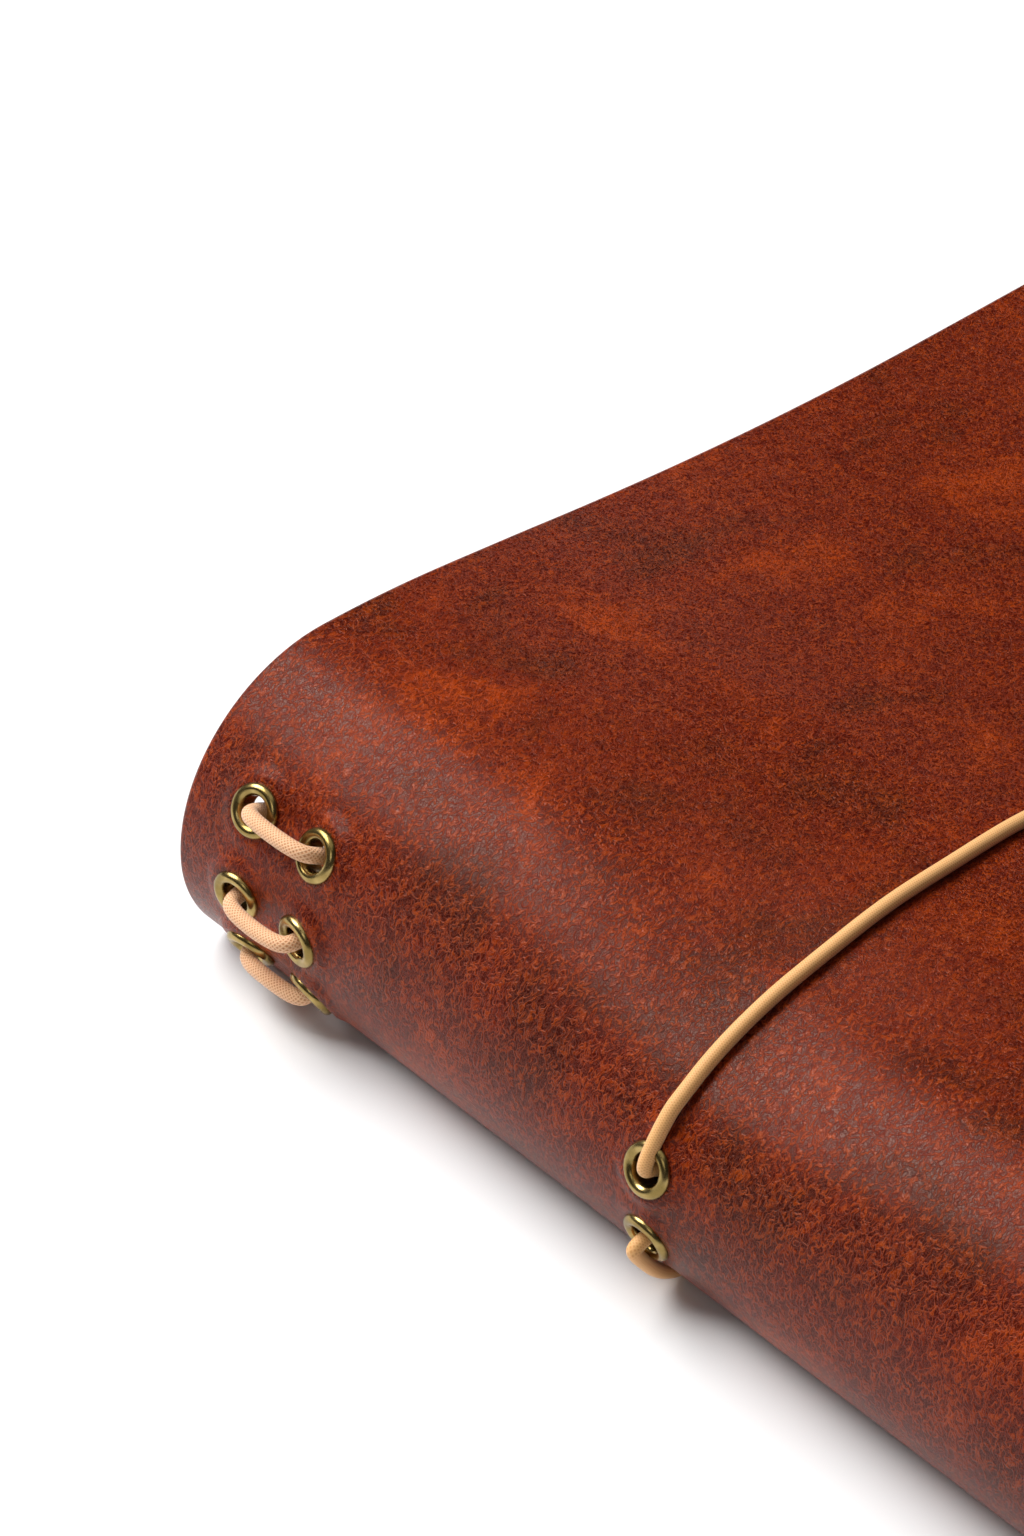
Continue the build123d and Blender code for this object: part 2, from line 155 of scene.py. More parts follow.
def sheet_quads(rows: int, columns: int, kept: np.ndarray | None, open_row: int | None) -> np.ndarray:
    """Quads of a sheet with two faces and a wall along every free edge.

    Args:
        rows: Rows of points in each face.
        columns: Points in each row.
        kept: Which cells of the grid exist, or None for all of them.
        open_row: Row along which no wall is made, because another piece carries on there.

    Returns:
        Vertex numbers of the quads; the second face's points follow the first's.
    """
    index = np.arange(rows * columns).reshape(rows, columns)
    cells = np.stack([index[:-1, :-1], index[:-1, 1:], index[1:, 1:], index[1:, :-1]], axis=-1)
    top = cells[np.ones((rows - 1, columns - 1), bool) if kept is None else kept]
    edges = np.concatenate([top[:, [side, (side + 1) % 4]] for side in range(4)])
    size = rows * columns
    free = edges[~np.isin(edges[:, 0] * size + edges[:, 1], edges[:, 1] * size + edges[:, 0])]
    if open_row is not None:
        free = free[~((free[:, 0] // columns == open_row) & (free[:, 1] // columns == open_row))]
    walls = np.stack([free[:, 1], free[:, 0], free[:, 0] + size, free[:, 1] + size], axis=-1)
    return np.concatenate([top, top[:, ::-1] + size, walls])


def make_sheet(name: str, outer: np.ndarray, inner: np.ndarray, kept: np.ndarray | None = None) -> bpy.types.Object:
    """Make one closed sheet from its outer and inner grids of points."""
    rows, columns = outer.shape[:2]
    quads = sheet_quads(rows, columns, kept, None)
    points = np.concatenate([outer.reshape(-1, 3), inner.reshape(-1, 3)])
    used, quads = np.unique(quads, return_inverse=True)
    return make_object(name, points[used], quads.reshape(-1, 4).tolist())


def burnish(outer: np.ndarray, inner: np.ndarray, inset: np.ndarray,
            radius: float) -> tuple[np.ndarray, np.ndarray]:
    """Round a sheet's cut edge by thinning it towards its middle.

    Args:
        outer: Points of the outer face.
        inner: Points of the inner face.
        inset: Distance of each point from the cut edge.
        radius: Distance over which the edge is rounded.

    Returns:
        The two faces with their edge rounded.
    """
    reach = 1.0 - np.clip(inset / radius, 0.0, 1.0)
    share = (0.3 + 0.7 * np.sqrt(np.clip(1.0 - reach**2, 0.0, 1.0)))[..., None]
    middle = (outer + inner) / 2.0
    return middle + (outer - middle) * share, middle + (inner - middle) * share


def smooth_line(route: list[np.ndarray], resolution: int = 10) -> np.ndarray:
    """Points along the smooth curve that a route's points steer."""
    curve = bpy.data.curves.new("route", "CURVE")
    curve.dimensions = "3D"
    curve.resolution_u = resolution
    spline = curve.splines.new("NURBS")
    spline.points.add(len(route) - 1)
    for control, place in zip(spline.points, route):
        control.co = (*[float(part) for part in place], 1.0)
    spline.use_endpoint_u = True
    spline.order_u = 3
    holder = bpy.data.objects.new("route", curve)
    mesh = bpy.data.meshes.new_from_object(holder)
    line = np.array([vertex.co[:] for vertex in mesh.vertices])
    bpy.data.objects.remove(holder)
    bpy.data.curves.remove(curve)
    bpy.data.meshes.remove(mesh)
    return line[np.concatenate([[True], np.linalg.norm(np.diff(line, axis=0), axis=1) > 1e-4])]


def tube_quads(rings: int, sides: int) -> tuple[np.ndarray, list]:
    """Quads of a tube made of rings of points, and the two faces that close its ends."""
    index = np.arange(rings * sides).reshape(rings, sides)
    turned = np.roll(index, -1, axis=1)
    quads = np.stack([index[:-1], turned[:-1], turned[1:], index[1:]], axis=-1).reshape(-1, 4)
    return quads, [index[0][::-1].tolist(), index[-1].tolist()]


def make_cord(name: str, line: np.ndarray, radius: float, sides: int = 20) -> bpy.types.Object:
    """Make a round cord with closed, rounded ends along a line.

    Args:
        name: Piece name.
        line: Points of its centre line.
        radius: Its radius.
        sides: Points round it.

    Returns:
        The cord. Its UV map holds the share of a turn and the length along it in millimetres.
    """
    tangents = unit(np.gradient(line, axis=0))
    start, stop = line[0] - tangents[0] * radius * 0.5, line[-1] + tangents[-1] * radius * 0.5
    line = np.concatenate([[start], [start], line, [stop], [stop]])
    tangents = np.concatenate([[tangents[0]] * 2, tangents, [tangents[-1]] * 2])
    swell = np.ones(len(line))
    swell[[0, -1]], swell[[1, -2]] = 0.05, 0.7
    side = unit(np.cross(tangents[0], [0.3, 0.2, 0.93]))
    rings, travelled = [], np.concatenate([[0.0], np.cumsum(np.linalg.norm(np.diff(line, axis=0), axis=1))])
    angles = np.linspace(0.0, 2.0 * math.pi, sides, endpoint=False)
    for place, tangent, share in zip(line, tangents, swell):
        side = unit(side - tangent * (side @ tangent))
        other = np.cross(tangent, side)
        rings.append(place + radius * share * (np.cos(angles)[:, None] * side + np.sin(angles)[:, None] * other))
    quads, caps = tube_quads(len(line), sides)
    piece = make_object(name, np.concatenate(rings), quads.tolist() + caps)
    layer = piece.data.uv_layers.new(name="cord")
    rows, columns = np.divmod(np.arange(len(quads)), sides)
    around = np.stack([columns, columns + 1, columns + 1, columns], axis=-1) / sides
    along = travelled[np.stack([rows, rows, rows + 1, rows + 1], axis=-1)]
    mapped = np.stack([around, along], axis=-1).reshape(-1, 2)
    mapped = np.concatenate([mapped, np.zeros((2 * sides, 2))])
    layer.data.foreach_set("uv", mapped.astype(np.float32).ravel())
    return piece


def knot_line(centre: np.ndarray, size: float, sides: int = 90) -> np.ndarray:
    """Centre line of a small tight knot: three lobes that pass over and under each other."""
    t = np.linspace(0.0, 2.0 * math.pi * 0.97, sides)
    lobes = np.stack([np.sin(t) + 2.0 * np.sin(2.0 * t), np.cos(t) - 2.0 * np.cos(2.0 * t), -np.sin(3.0 * t)],
                     axis=-1)
    return centre + lobes * size / 3.0


# ---------------------------------------------------------------- materials


def to_linear(colour: str) -> tuple[float, float, float, float]:
    """Turn an sRGB hex colour, such as "#7a2a14", into the linear numbers that a shader takes."""
    parts = [int(colour[place : place + 2], 16) / 255.0 for place in (1, 3, 5)]
    linear = [part / 12.92 if part <= 0.04045 else ((part + 0.055) / 1.055) ** 2.4 for part in parts]
    return (*linear, 1.0)


def per_metre(size: float) -> float:
    """Pattern scale that repeats once in a size given in millimetres."""
    return 1.0 / (size * MM)


def add_node(tree: bpy.types.NodeTree, kind: str, settings: dict | None = None,
             links: dict | None = None) -> bpy.types.Node:
    """Add one shader node.

    Args:
        tree: Node tree that gets it.
        kind: Node type without its "ShaderNode" prefix.
        settings: Constants for inputs, by name or number, and for the node's own options; "stops" is a
            list of (place, hex colour) for a colour ramp.
        links: Sockets that feed its inputs, by name or number.

    Returns:
        The node.
    """
    node = tree.nodes.new("ShaderNode" + kind)
    options = dict(settings or {})
    for name in [key for key in options if isinstance(key, str) and key not in node.inputs and key != "stops"]:
        setattr(node, name, options.pop(name))
    for place, colour in options.pop("stops", []):
        ramp = node.color_ramp.elements
        element = ramp[0] if place == 0.0 else ramp[-1] if place == 1.0 else ramp.new(place)
        element.position, element.color = place, to_linear(colour)
    for name, value in options.items():
        node.inputs[name].default_value = value
    for name, socket in (links or {}).items():
        tree.links.new(socket, node.inputs[name])
    return node


def new_material(name: str) -> tuple[bpy.types.Material, bpy.types.NodeTree]:
    """Make an empty node material and return it with its node tree."""
    material = bpy.data.materials.new(name)
    material.use_nodes = True
    material.node_tree.nodes.clear()
    return material, material.node_tree


def finish_shader(tree: bpy.types.NodeTree, settings: dict, links: dict) -> None:
    """Add the surface shader and the output that shows it."""
    shader = add_node(tree, "BsdfPrincipled", settings, links)
    add_node(tree, "OutputMaterial", {}, {"Surface": shader.outputs[0]})


@dataclass(frozen=True)
class OiledCowhide:
    """Vegetable-tanned cowhide of the cover: dyed through, oiled and waxed, with its natural grain.

    The dye takes unevenly, so tan shows in clouds through the red-brown. The creases are painted nearly
    black as painted shade, and the wax on the raised grain gives a broad, soft, slightly pink shine.
    """

    # painted shade for the grain's creases, and the colour of the dark flecks
    fleck_and_crease_shade: str = "#260200"
    deep: str = "#450700"
    body: str = "#661000"
    tan: str = "#983000"
    raised: str = "#b44a06"
    grain: float = 0.8
    long_grain: float = 1.15
    cloud: float = 24.0
    fleck: float = 1.6
    relief: float = 0.15

    def squiggles(self, tree: bpy.types.NodeTree, place: bpy.types.NodeSocket, size: float) -> bpy.types.NodeSocket:
        """Thin raised lines that wander and join, as the grain of hide does.

        Args:
            tree: Node tree to add to.
            place: Point on the leather.
            size: Distance between the lines, in millimetres.

        Returns:
            Socket that is 1 along the lines and 0 between them.
        """
        field_noise = add_node(tree, "TexNoise",
                               {"Scale": per_metre(size), "Detail": 1.6, "Roughness": 0.55, "Distortion": 0.7},
                               {"Vector": place})
        off = add_node(tree, "Math", {"operation": "SUBTRACT", 1: 0.5}, {0: field_noise.outputs[0]}).outputs[0]
        apart = add_node(tree, "Math", {"operation": "ABSOLUTE"}, {0: off}).outputs[0]
        return add_node(tree, "MapRange",
                        {"interpolation_type": "SMOOTHSTEP", "From Max": 0.085, "To Min": 1.0, "To Max": 0.0},
                        {"Value": apart}).outputs[0]

    def make(self) -> bpy.types.Material:
        """Build the material."""
        material, tree = new_material("oiled_cowhide")
        place = add_node(tree, "TexCoord").outputs["Object"]
        # the grain's lines are pushed about by a noise of a few millimetres, so they have no direction
        wander = add_node(tree, "TexNoise", {"Scale": per_metre(2.4), "Detail": 2.0}, {"Vector": place})
        pushed = add_node(tree, "VectorMath", {"operation": "MULTIPLY_ADD", 1: (0.0012,) * 3},
                          {0: wander.outputs["Color"], 2: place}).outputs[0]
        stretched = add_node(tree, "VectorMath", {"operation": "MULTIPLY", 1: (0.72, 1.0, 0.72)},
                             {0: pushed}).outputs[0]
        fine = self.squiggles(tree, pushed, self.grain)
        finer = self.squiggles(tree, place, self.grain * 0.55)
        long = self.squiggles(tree, stretched, self.long_grain)
        micro = add_node(tree, "TexNoise", {"Scale": per_metre(0.4), "Detail": 3.0, "Roughness": 0.6},
                         {"Vector": place})
        # the spine's bent leather has the longer grain, and it gives way to the finer one on the cover
        across = add_node(tree, "SeparateXYZ", {}, {0: place}).outputs[0]
        edge = add_node(tree, "TexNoise", {"Scale": per_metre(18.0)}, {"Vector": place})
        shifted = add_node(tree, "Math", {"operation": "MULTIPLY_ADD", 1: 0.03},
                           {0: edge.outputs[0], 2: across}).outputs[0]
        on_cover = add_node(tree, "MapRange", {"From Min": -0.062, "From Max": -0.03},
                            {"Value": shifted}).outputs[0]
        coarse = add_node(tree, "Mix", {"data_type": "FLOAT"}, {0: on_cover, 2: long, 3: fine}).outputs[0]
        lines = add_node(tree, "Math", {"operation": "MULTIPLY_ADD", 1: 0.5}, {0: finer, 2: coarse}).outputs[0]
        height = add_node(tree, "Math", {"operation": "MULTIPLY_ADD", 1: 0.3},
                          {0: micro.outputs[0], 2: lines}).outputs[0]
        # the dye: clouds and flecks first, then painted shade between the lines of the grain and lighter on them
        cloud = add_node(tree, "TexNoise",
                         {"Scale": per_metre(self.cloud), "Detail": 7.0, "Roughness": 0.6, "Distortion": 0.4},
                         {"Vector": place})
        stops = [(0.0, self.deep), (0.36, self.deep), (0.48, self.body), (0.55, self.body), (0.66, self.tan),
                 (1.0, self.tan)]
        dye = add_node(tree, "ValToRGB", {"stops": stops}, {0: cloud.outputs[0]}).outputs[0]
        mottle = add_node(tree, "TexNoise", {"Scale": per_metre(self.fleck), "Detail": 5.0, "Roughness": 0.7},
                          {"Vector": place})
        dark_flecks = add_node(tree, "MapRange", {"From Min": 0.5, "From Max": 0.75, "To Max": 0.2},
                               {"Value": mottle.outputs[0]}).outputs[0]
        flecked = add_node(tree, "Mix", {"data_type": "RGBA", 7: to_linear(self.fleck_and_crease_shade)},
                           {0: dark_flecks, 6: dye}).outputs[2]
        # painted shade: darker between the grain's lines, where the creases dip
        between = add_node(tree, "MapRange", {"From Min": 0.6, "From Max": 0.0, "To Max": 0.66},
                           {"Value": lines}).outputs[0]
        crease_shaded = add_node(tree, "Mix", {"data_type": "RGBA", 7: to_linear(self.fleck_and_crease_shade)},
                        {0: between, 6: flecked}).outputs[2]
        rubbed = add_node(tree, "MapRange", {"From Min": 0.62, "From Max": 0.36, "To Min": 0.12, "To Max": 0.5},
                          {"Value": mottle.outputs[0]}).outputs[0]
        worn = add_node(tree, "Math", {"operation": "MULTIPLY", "use_clamp": True},
                        {0: rubbed, 1: lines}).outputs[0]
        colour = add_node(tree, "Mix", {"data_type": "RGBA", 7: to_linear(self.raised)},
                          {0: worn, 6: crease_shaded}).outputs[2]
        wax = add_node(tree, "MapRange", {"To Min": 0.27, "To Max": 0.33}, {"Value": cloud.outputs[0]}).outputs[0]
        bump = add_node(tree, "Bump", {"Strength": 0.6, "Distance": self.relief * MM},
                        {"Height": height}).outputs[0]
        # the low IOR and warm specular tint are set for the sheen, and are not usual for dressed leather
        sheen = {"IOR": 1.34, "Specular Tint": to_linear("#ffc4ac"), "Coat Weight": 0.05, "Coat Roughness": 0.26,
                 "Coat IOR": 1.45}
        finish_shader(tree, sheen, {"Base Color": colour, "Roughness": wax, "Normal": bump})
        return material


@dataclass(frozen=True)
class CalfLining:
    """Smooth calf of the leaves: chrome-tanned, plated flat, so its pores are fine and its shine low."""

    name: str
    colour: str
    darker: str
    pore: float = 0.5
    cloud: float = 18.0
    relief: float = 0.06

    def make(self) -> bpy.types.Material:
        """Build the material."""
        material, tree = new_material(self.name)
        place = add_node(tree, "TexCoord").outputs["Object"]
        pores = add_node(tree, "TexVoronoi", {"Scale": per_metre(self.pore)}, {"Vector": place})
        cloud = add_node(tree, "TexNoise", {"Scale": per_metre(self.cloud), "Detail": 5.0}, {"Vector": place})
        mixed = add_node(tree, "Math", {"operation": "MULTIPLY_ADD", 1: 0.35},
                         {0: pores.outputs[0], 2: cloud.outputs[0]}).outputs[0]
        colour = add_node(tree, "ValToRGB",
                          {"stops": [(0.0, self.darker), (0.45, self.darker), (0.7, self.colour),
                                     (1.0, self.colour)]},
                          {0: mixed}).outputs[0]
        bump = add_node(tree, "Bump", {"Strength": 0.6, "Distance": self.relief * MM},
                        {"Height": pores.outputs[0]}).outputs[0]
        finish_shader(tree, {"Roughness": 0.52, "IOR": 1.48}, {"Base Color": colour, "Normal": bump})
        return material


@dataclass(frozen=True)
class AntiquedBrass:
    """Stamped brass of the eyelets: darkened, then rubbed back, so it is bright in places and olive in others."""

    bright: str = "#b39a62"
    olive: str = "#8a7543"
    patina: float = 3.6
    scuff: float = 0.25

    def make(self) -> bpy.types.Material:
        """Build the material."""
        material, tree = new_material("antiqued_brass")
        place = add_node(tree, "TexCoord").outputs["Object"]
        patina = add_node(tree, "TexNoise", {"Scale": per_metre(self.patina), "Detail": 4.0, "Roughness": 0.5},
                          {"Vector": place})
        scuff = add_node(tree, "TexNoise", {"Scale": per_metre(self.scuff), "Detail": 2.0}, {"Vector": place})
        colour = add_node(tree, "ValToRGB",
                          {"stops": [(0.0, self.olive), (0.4, self.olive), (0.62, self.bright),
                                     (1.0, self.bright)]},
                          {0: patina.outputs[0]}).outputs[0]
        polish = add_node(tree, "MapRange", {"To Min": 0.3, "To Max": 0.22},
                          {"Value": patina.outputs[0]}).outputs[0]
        bump = add_node(tree, "Bump", {"Strength": 0.05, "Distance": 0.01 * MM},
                        {"Height": scuff.outputs[0]}).outputs[0]
        finish_shader(tree, {"Metallic": 1.0}, {"Base Color": colour, "Roughness": polish, "Normal": bump})
        return material


@dataclass(frozen=True)
class BraidedElastic:
    """Round elastic: rubber strands in a braided polyester cover, matt, with a fine diagonal weave.

    Attributes:
        name: Material name.
        light: Colour of the braid's raised threads, painted lighter as a painted highlight.
        shade: Colour between them, a painted shade in the braid's grooves.
        thread: Spacing of the braid along the cord.
        bands: Threads round the cord.
        relief: Depth of the braid.
    """

    name: str
    light: str
    shade: str
    thread: float
    bands: float
    relief: float

    def make(self) -> bpy.types.Material:
        """Build the material."""
        material, tree = new_material(self.name)
        mapped = add_node(tree, "SeparateXYZ", {}, {0: add_node(tree, "TexCoord").outputs["UV"]})
        along = add_node(tree, "Math", {"operation": "MULTIPLY", 1: 2.0 * math.pi / self.thread},
                         {0: mapped.outputs[1]}).outputs[0]
        crossings = []
        for lean in (self.bands, -self.bands):
            slant = add_node(tree, "Math", {"operation": "MULTIPLY_ADD", 1: 2.0 * math.pi * lean},
                             {0: mapped.outputs[0], 2: along}).outputs[0]
            crossings.append(add_node(tree, "Math", {"operation": "SINE"}, {0: slant}).outputs[0])
        woven = add_node(tree, "Math", {"operation": "MAXIMUM"}, {0: crossings[0], 1: crossings[1]}).outputs[0]
        fuzz = add_node(tree, "TexNoise", {"Scale": per_metre(0.3), "Detail": 3.0},
                        {"Vector": add_node(tree, "TexCoord").outputs["Object"]})
        height = add_node(tree, "Math", {"operation": "MULTIPLY_ADD", 1: 0.6},
                          {0: fuzz.outputs[0], 2: woven}).outputs[0]
        share = add_node(tree, "MapRange", {"From Min": -0.4, "From Max": 1.3}, {"Value": height}).outputs[0]
        # painted light and shade: the raised threads get the light colour and the grooves between them the shade
        colour = add_node(tree, "ValToRGB", {"stops": [(0.0, self.shade), (1.0, self.light)]},
                          {0: share}).outputs[0]
        bump = add_node(tree, "Bump", {"Strength": 0.7, "Distance": self.relief * MM},
                        {"Height": height}).outputs[0]
        finish_shader(tree, {"Roughness": 0.62, "Sheen Weight": 0.25, "Sheen Roughness": 0.5, "Subsurface Weight": 0.08,
                             "Subsurface Radius": (0.001, 0.0006, 0.0004)}, {"Base Color": colour, "Normal": bump})
        return material


@dataclass(frozen=True)
class WaxedThread:
    """Waxed polyester thread of the leaves' stitches: twisted, with a dull shine.

    Attributes:
        colour: Colour of the thread.
        shade: Colour in its twist's grooves, a painted shade.
        twist: Millimetres over which the twist's wave turns by one radian.
    """

    colour: str = "#d8b98a"
    shade: str = "#a98556"
    twist: float = 0.35

    def make(self) -> bpy.types.Material:
        """Build the material."""
        material, tree = new_material("waxed_thread")
        place = add_node(tree, "TexCoord").outputs["Object"]
        twist = add_node(tree, "TexWave",
                         {"bands_direction": "DIAGONAL", "Scale": per_metre(self.twist) / 20.0, "Distortion": 1.0},
                         {"Vector": place})
        # painted shade: the colour darkens where the twist's wave dips, as its bump does
        colour = add_node(tree, "ValToRGB", {"stops": [(0.0, self.shade), (1.0, self.colour)]},
                          {0: twist.outputs[1]}).outputs[0]
        bump = add_node(tree, "Bump", {"Strength": 0.5, "Distance": 0.05 * MM},
                        {"Height": twist.outputs[1]}).outputs[0]
        finish_shader(tree, {"Roughness": 0.5}, {"Base Color": colour, "Normal": bump})
        return material


@dataclass(frozen=True)
class PaperSweep:
    """White paper that the case lies on: matt, with the faintest tooth."""

    colour: str = "#f4f4f4"
    tooth: float = 0.6

    def make(self) -> bpy.types.Material:
        """Build the material."""
        material, tree = new_material("paper_sweep")
        tooth = add_node(tree, "TexNoise", {"Scale": per_metre(self.tooth), "Detail": 2.0},
                         {"Vector": add_node(tree, "TexCoord").outputs["Object"]})
        bump = add_node(tree, "Bump", {"Strength": 0.1, "Distance": 0.02 * MM},
                        {"Height": tooth.outputs[0]}).outputs[0]
        finish_shader(tree, {"Base Color": to_linear(self.colour), "Roughness": 0.9}, {"Normal": bump})
        return material


def dress(piece: bpy.types.Object, material: bpy.types.Material) -> bpy.types.Object:
    """Give a piece its material."""
    piece.data.materials.clear()
    piece.data.materials.append(material)
    return piece


# ---------------------------------------------------------------- the case


@dataclass
class Seat:
    """Place of one eyelet: its middle on the spine's outside and the way it faces."""

    origin: np.ndarray
    facing: np.ndarray


@dataclass
class CaseShape:
    """Sizes of the closed case, and points and directions on it."""

    spine_x: float
    length: float = 222.0
    width: float = 206.0
    thickness: float = 50.5
    leather: float = 2.4
    heel_radius: float = 10.0
    belly_radius: float = 25.4
    heel_turn: float = 39.0
    crown_radius: float = 230.0
    hollow_radius: float = 690.0
    fall_angle: float = 7.4
    fall_length: float = 14.0
    end_margin: float = 14.4
    pair_pitch: float = 14.6
    pair_toe: float = 7.5
    rows: dict = field(default_factory=lambda: {"upper": (31.0, 29.0), "middle": (2.0, -2.0),
                                                "lower": (-26.0, -31.0)})
    closure: tuple = ((13.0, 21.0), (-15.5, -17.0))
    closure_y: float = 4.0

    def __post_init__(self) -> None:
        """Work out the arcs' centres, each arc tangent to the next."""
        widest = self.heel_radius + (self.belly_radius - self.heel_radius) * math.sin(math.radians(self.heel_turn))
        self.shoulder_radius = self.thickness - widest
        belly = np.array([self.spine_x + self.belly_radius, 0.0, widest])
        shoulder = np.array([self.spine_x + self.shoulder_radius, 0.0, widest])
        heel = belly + polar(-self.heel_turn) * (self.belly_radius - self.heel_radius)
        self.zones = [(-90.0, -self.heel_turn, heel, self.heel_radius),
                      (-self.heel_turn, 0.0, belly, self.belly_radius),
                      (0.0, 90.0, shoulder, self.shoulder_radius)]
        self.outer_y = self.length / 2.0 - self.end_margin
        self.inner_y = self.outer_y - self.pair_pitch
        self.fore_x = self.spine_x + self.width

    def spine_point(self, turn: float, depth: float = 0.0) -> np.ndarray:
        """Point of the spine at a turn, a depth below its outside."""
        centre, radius = next(zone[2:] for zone in self.zones if zone[0] <= turn <= zone[1])
        return centre + polar(turn) * (radius - depth)

    def seat(self, row: tuple[float, float], y: float, toe: float = 0.0) -> Seat:
        """Place of an eyelet from its row's turn and pitch, its Y and its toe-in."""
        turn, pitch = row
        flat, lean = polar(pitch), math.radians(toe)
        facing = np.array([flat[0] * math.cos(lean), math.sin(lean), flat[2] * math.cos(lean)])
        return Seat(self.spine_point(turn) + ALONG * y, facing)

    def pair(self, name: str, end: End) -> list[Seat]:
        """The two eyelets of a row at one end of the spine."""
        side = end.value
        return [self.seat(self.rows[name], side * self.outer_y, -side * self.pair_toe),
                self.seat(self.rows[name], side * self.inner_y, side * self.pair_toe)]

    def stations(self) -> tuple[np.ndarray, np.ndarray, np.ndarray]:
        """Walk round the section, from the back cover's fore-edge to the front cover's.

        Returns:
            Points in X and Z, outward directions, and lengths from the point at turn 20 on the shoulder.
        """
        places, outwards = [], []
        fore = self.fore_x - np.array([0.0, 0.06, 0.2, 0.45, 0.8, 1.3, 2.0, 3.0, 4.5, 6.5])
        heel_x = self.zones[0][2][0]
        for x in np.concatenate([fore, steps(fore[-1] - 3.0, heel_x, 3.6)]):
            places.append((x, 0.0))
            outwards.append((0.0, -1.0))
        for low, high, centre, radius in self.zones:
            for turn in steps(low, high, math.degrees(0.62 / radius)):
                outward = polar(turn)
                places.append(tuple((centre + outward * radius)[[0, 2]]))
                outwards.append((outward[0], outward[2]))
        crown_x, fall = self.zones[2][2][0], math.radians(self.fall_angle)
        for lean in steps(0.0, fall, 1.5 / self.crown_radius):
            outward = np.array([math.sin(lean), math.cos(lean)])
            places.append(tuple(np.array([crown_x,
                                          self.thickness - self.crown_radius]) + outward * self.crown_radius))
            outwards.append(tuple(outward))
        lift = np.array([math.sin(fall), math.cos(fall)])
        foot = np.array([crown_x, self.thickness - self.crown_radius]) + lift * self.crown_radius
        for run in steps(0.0, self.fall_length, 1.6):
            places.append(tuple(foot + run * np.array([math.cos(fall), -math.sin(fall)])))
            outwards.append(tuple(lift))
        foot = foot + self.fall_length * np.array([math.cos(fall), -math.sin(fall)])
        hollow = foot + lift * self.hollow_radius
        for lean in steps(fall, 0.0, 2.0 / self.hollow_radius):
            outward = np.array([math.sin(lean), math.cos(lean)])
            places.append(tuple(hollow - outward * self.hollow_radius))
            outwards.append(tuple(outward))
        for x in np.concatenate([steps(places[-1][0] + 2.0, fore[-1], 2.0), fore[::-1]]):
            places.append((x, hollow[1] - self.hollow_radius))
            outwards.append((0.0, 1.0))
        section = np.array(places)
        travelled = np.concatenate([[0.0], np.cumsum(np.linalg.norm(np.diff(section, axis=0), axis=1))])
        mark = self.spine_point(20.4)[[0, 2]]
        travelled -= travelled[np.argmin(np.linalg.norm(section - mark, axis=1))]
        return section, np.array(outwards), travelled


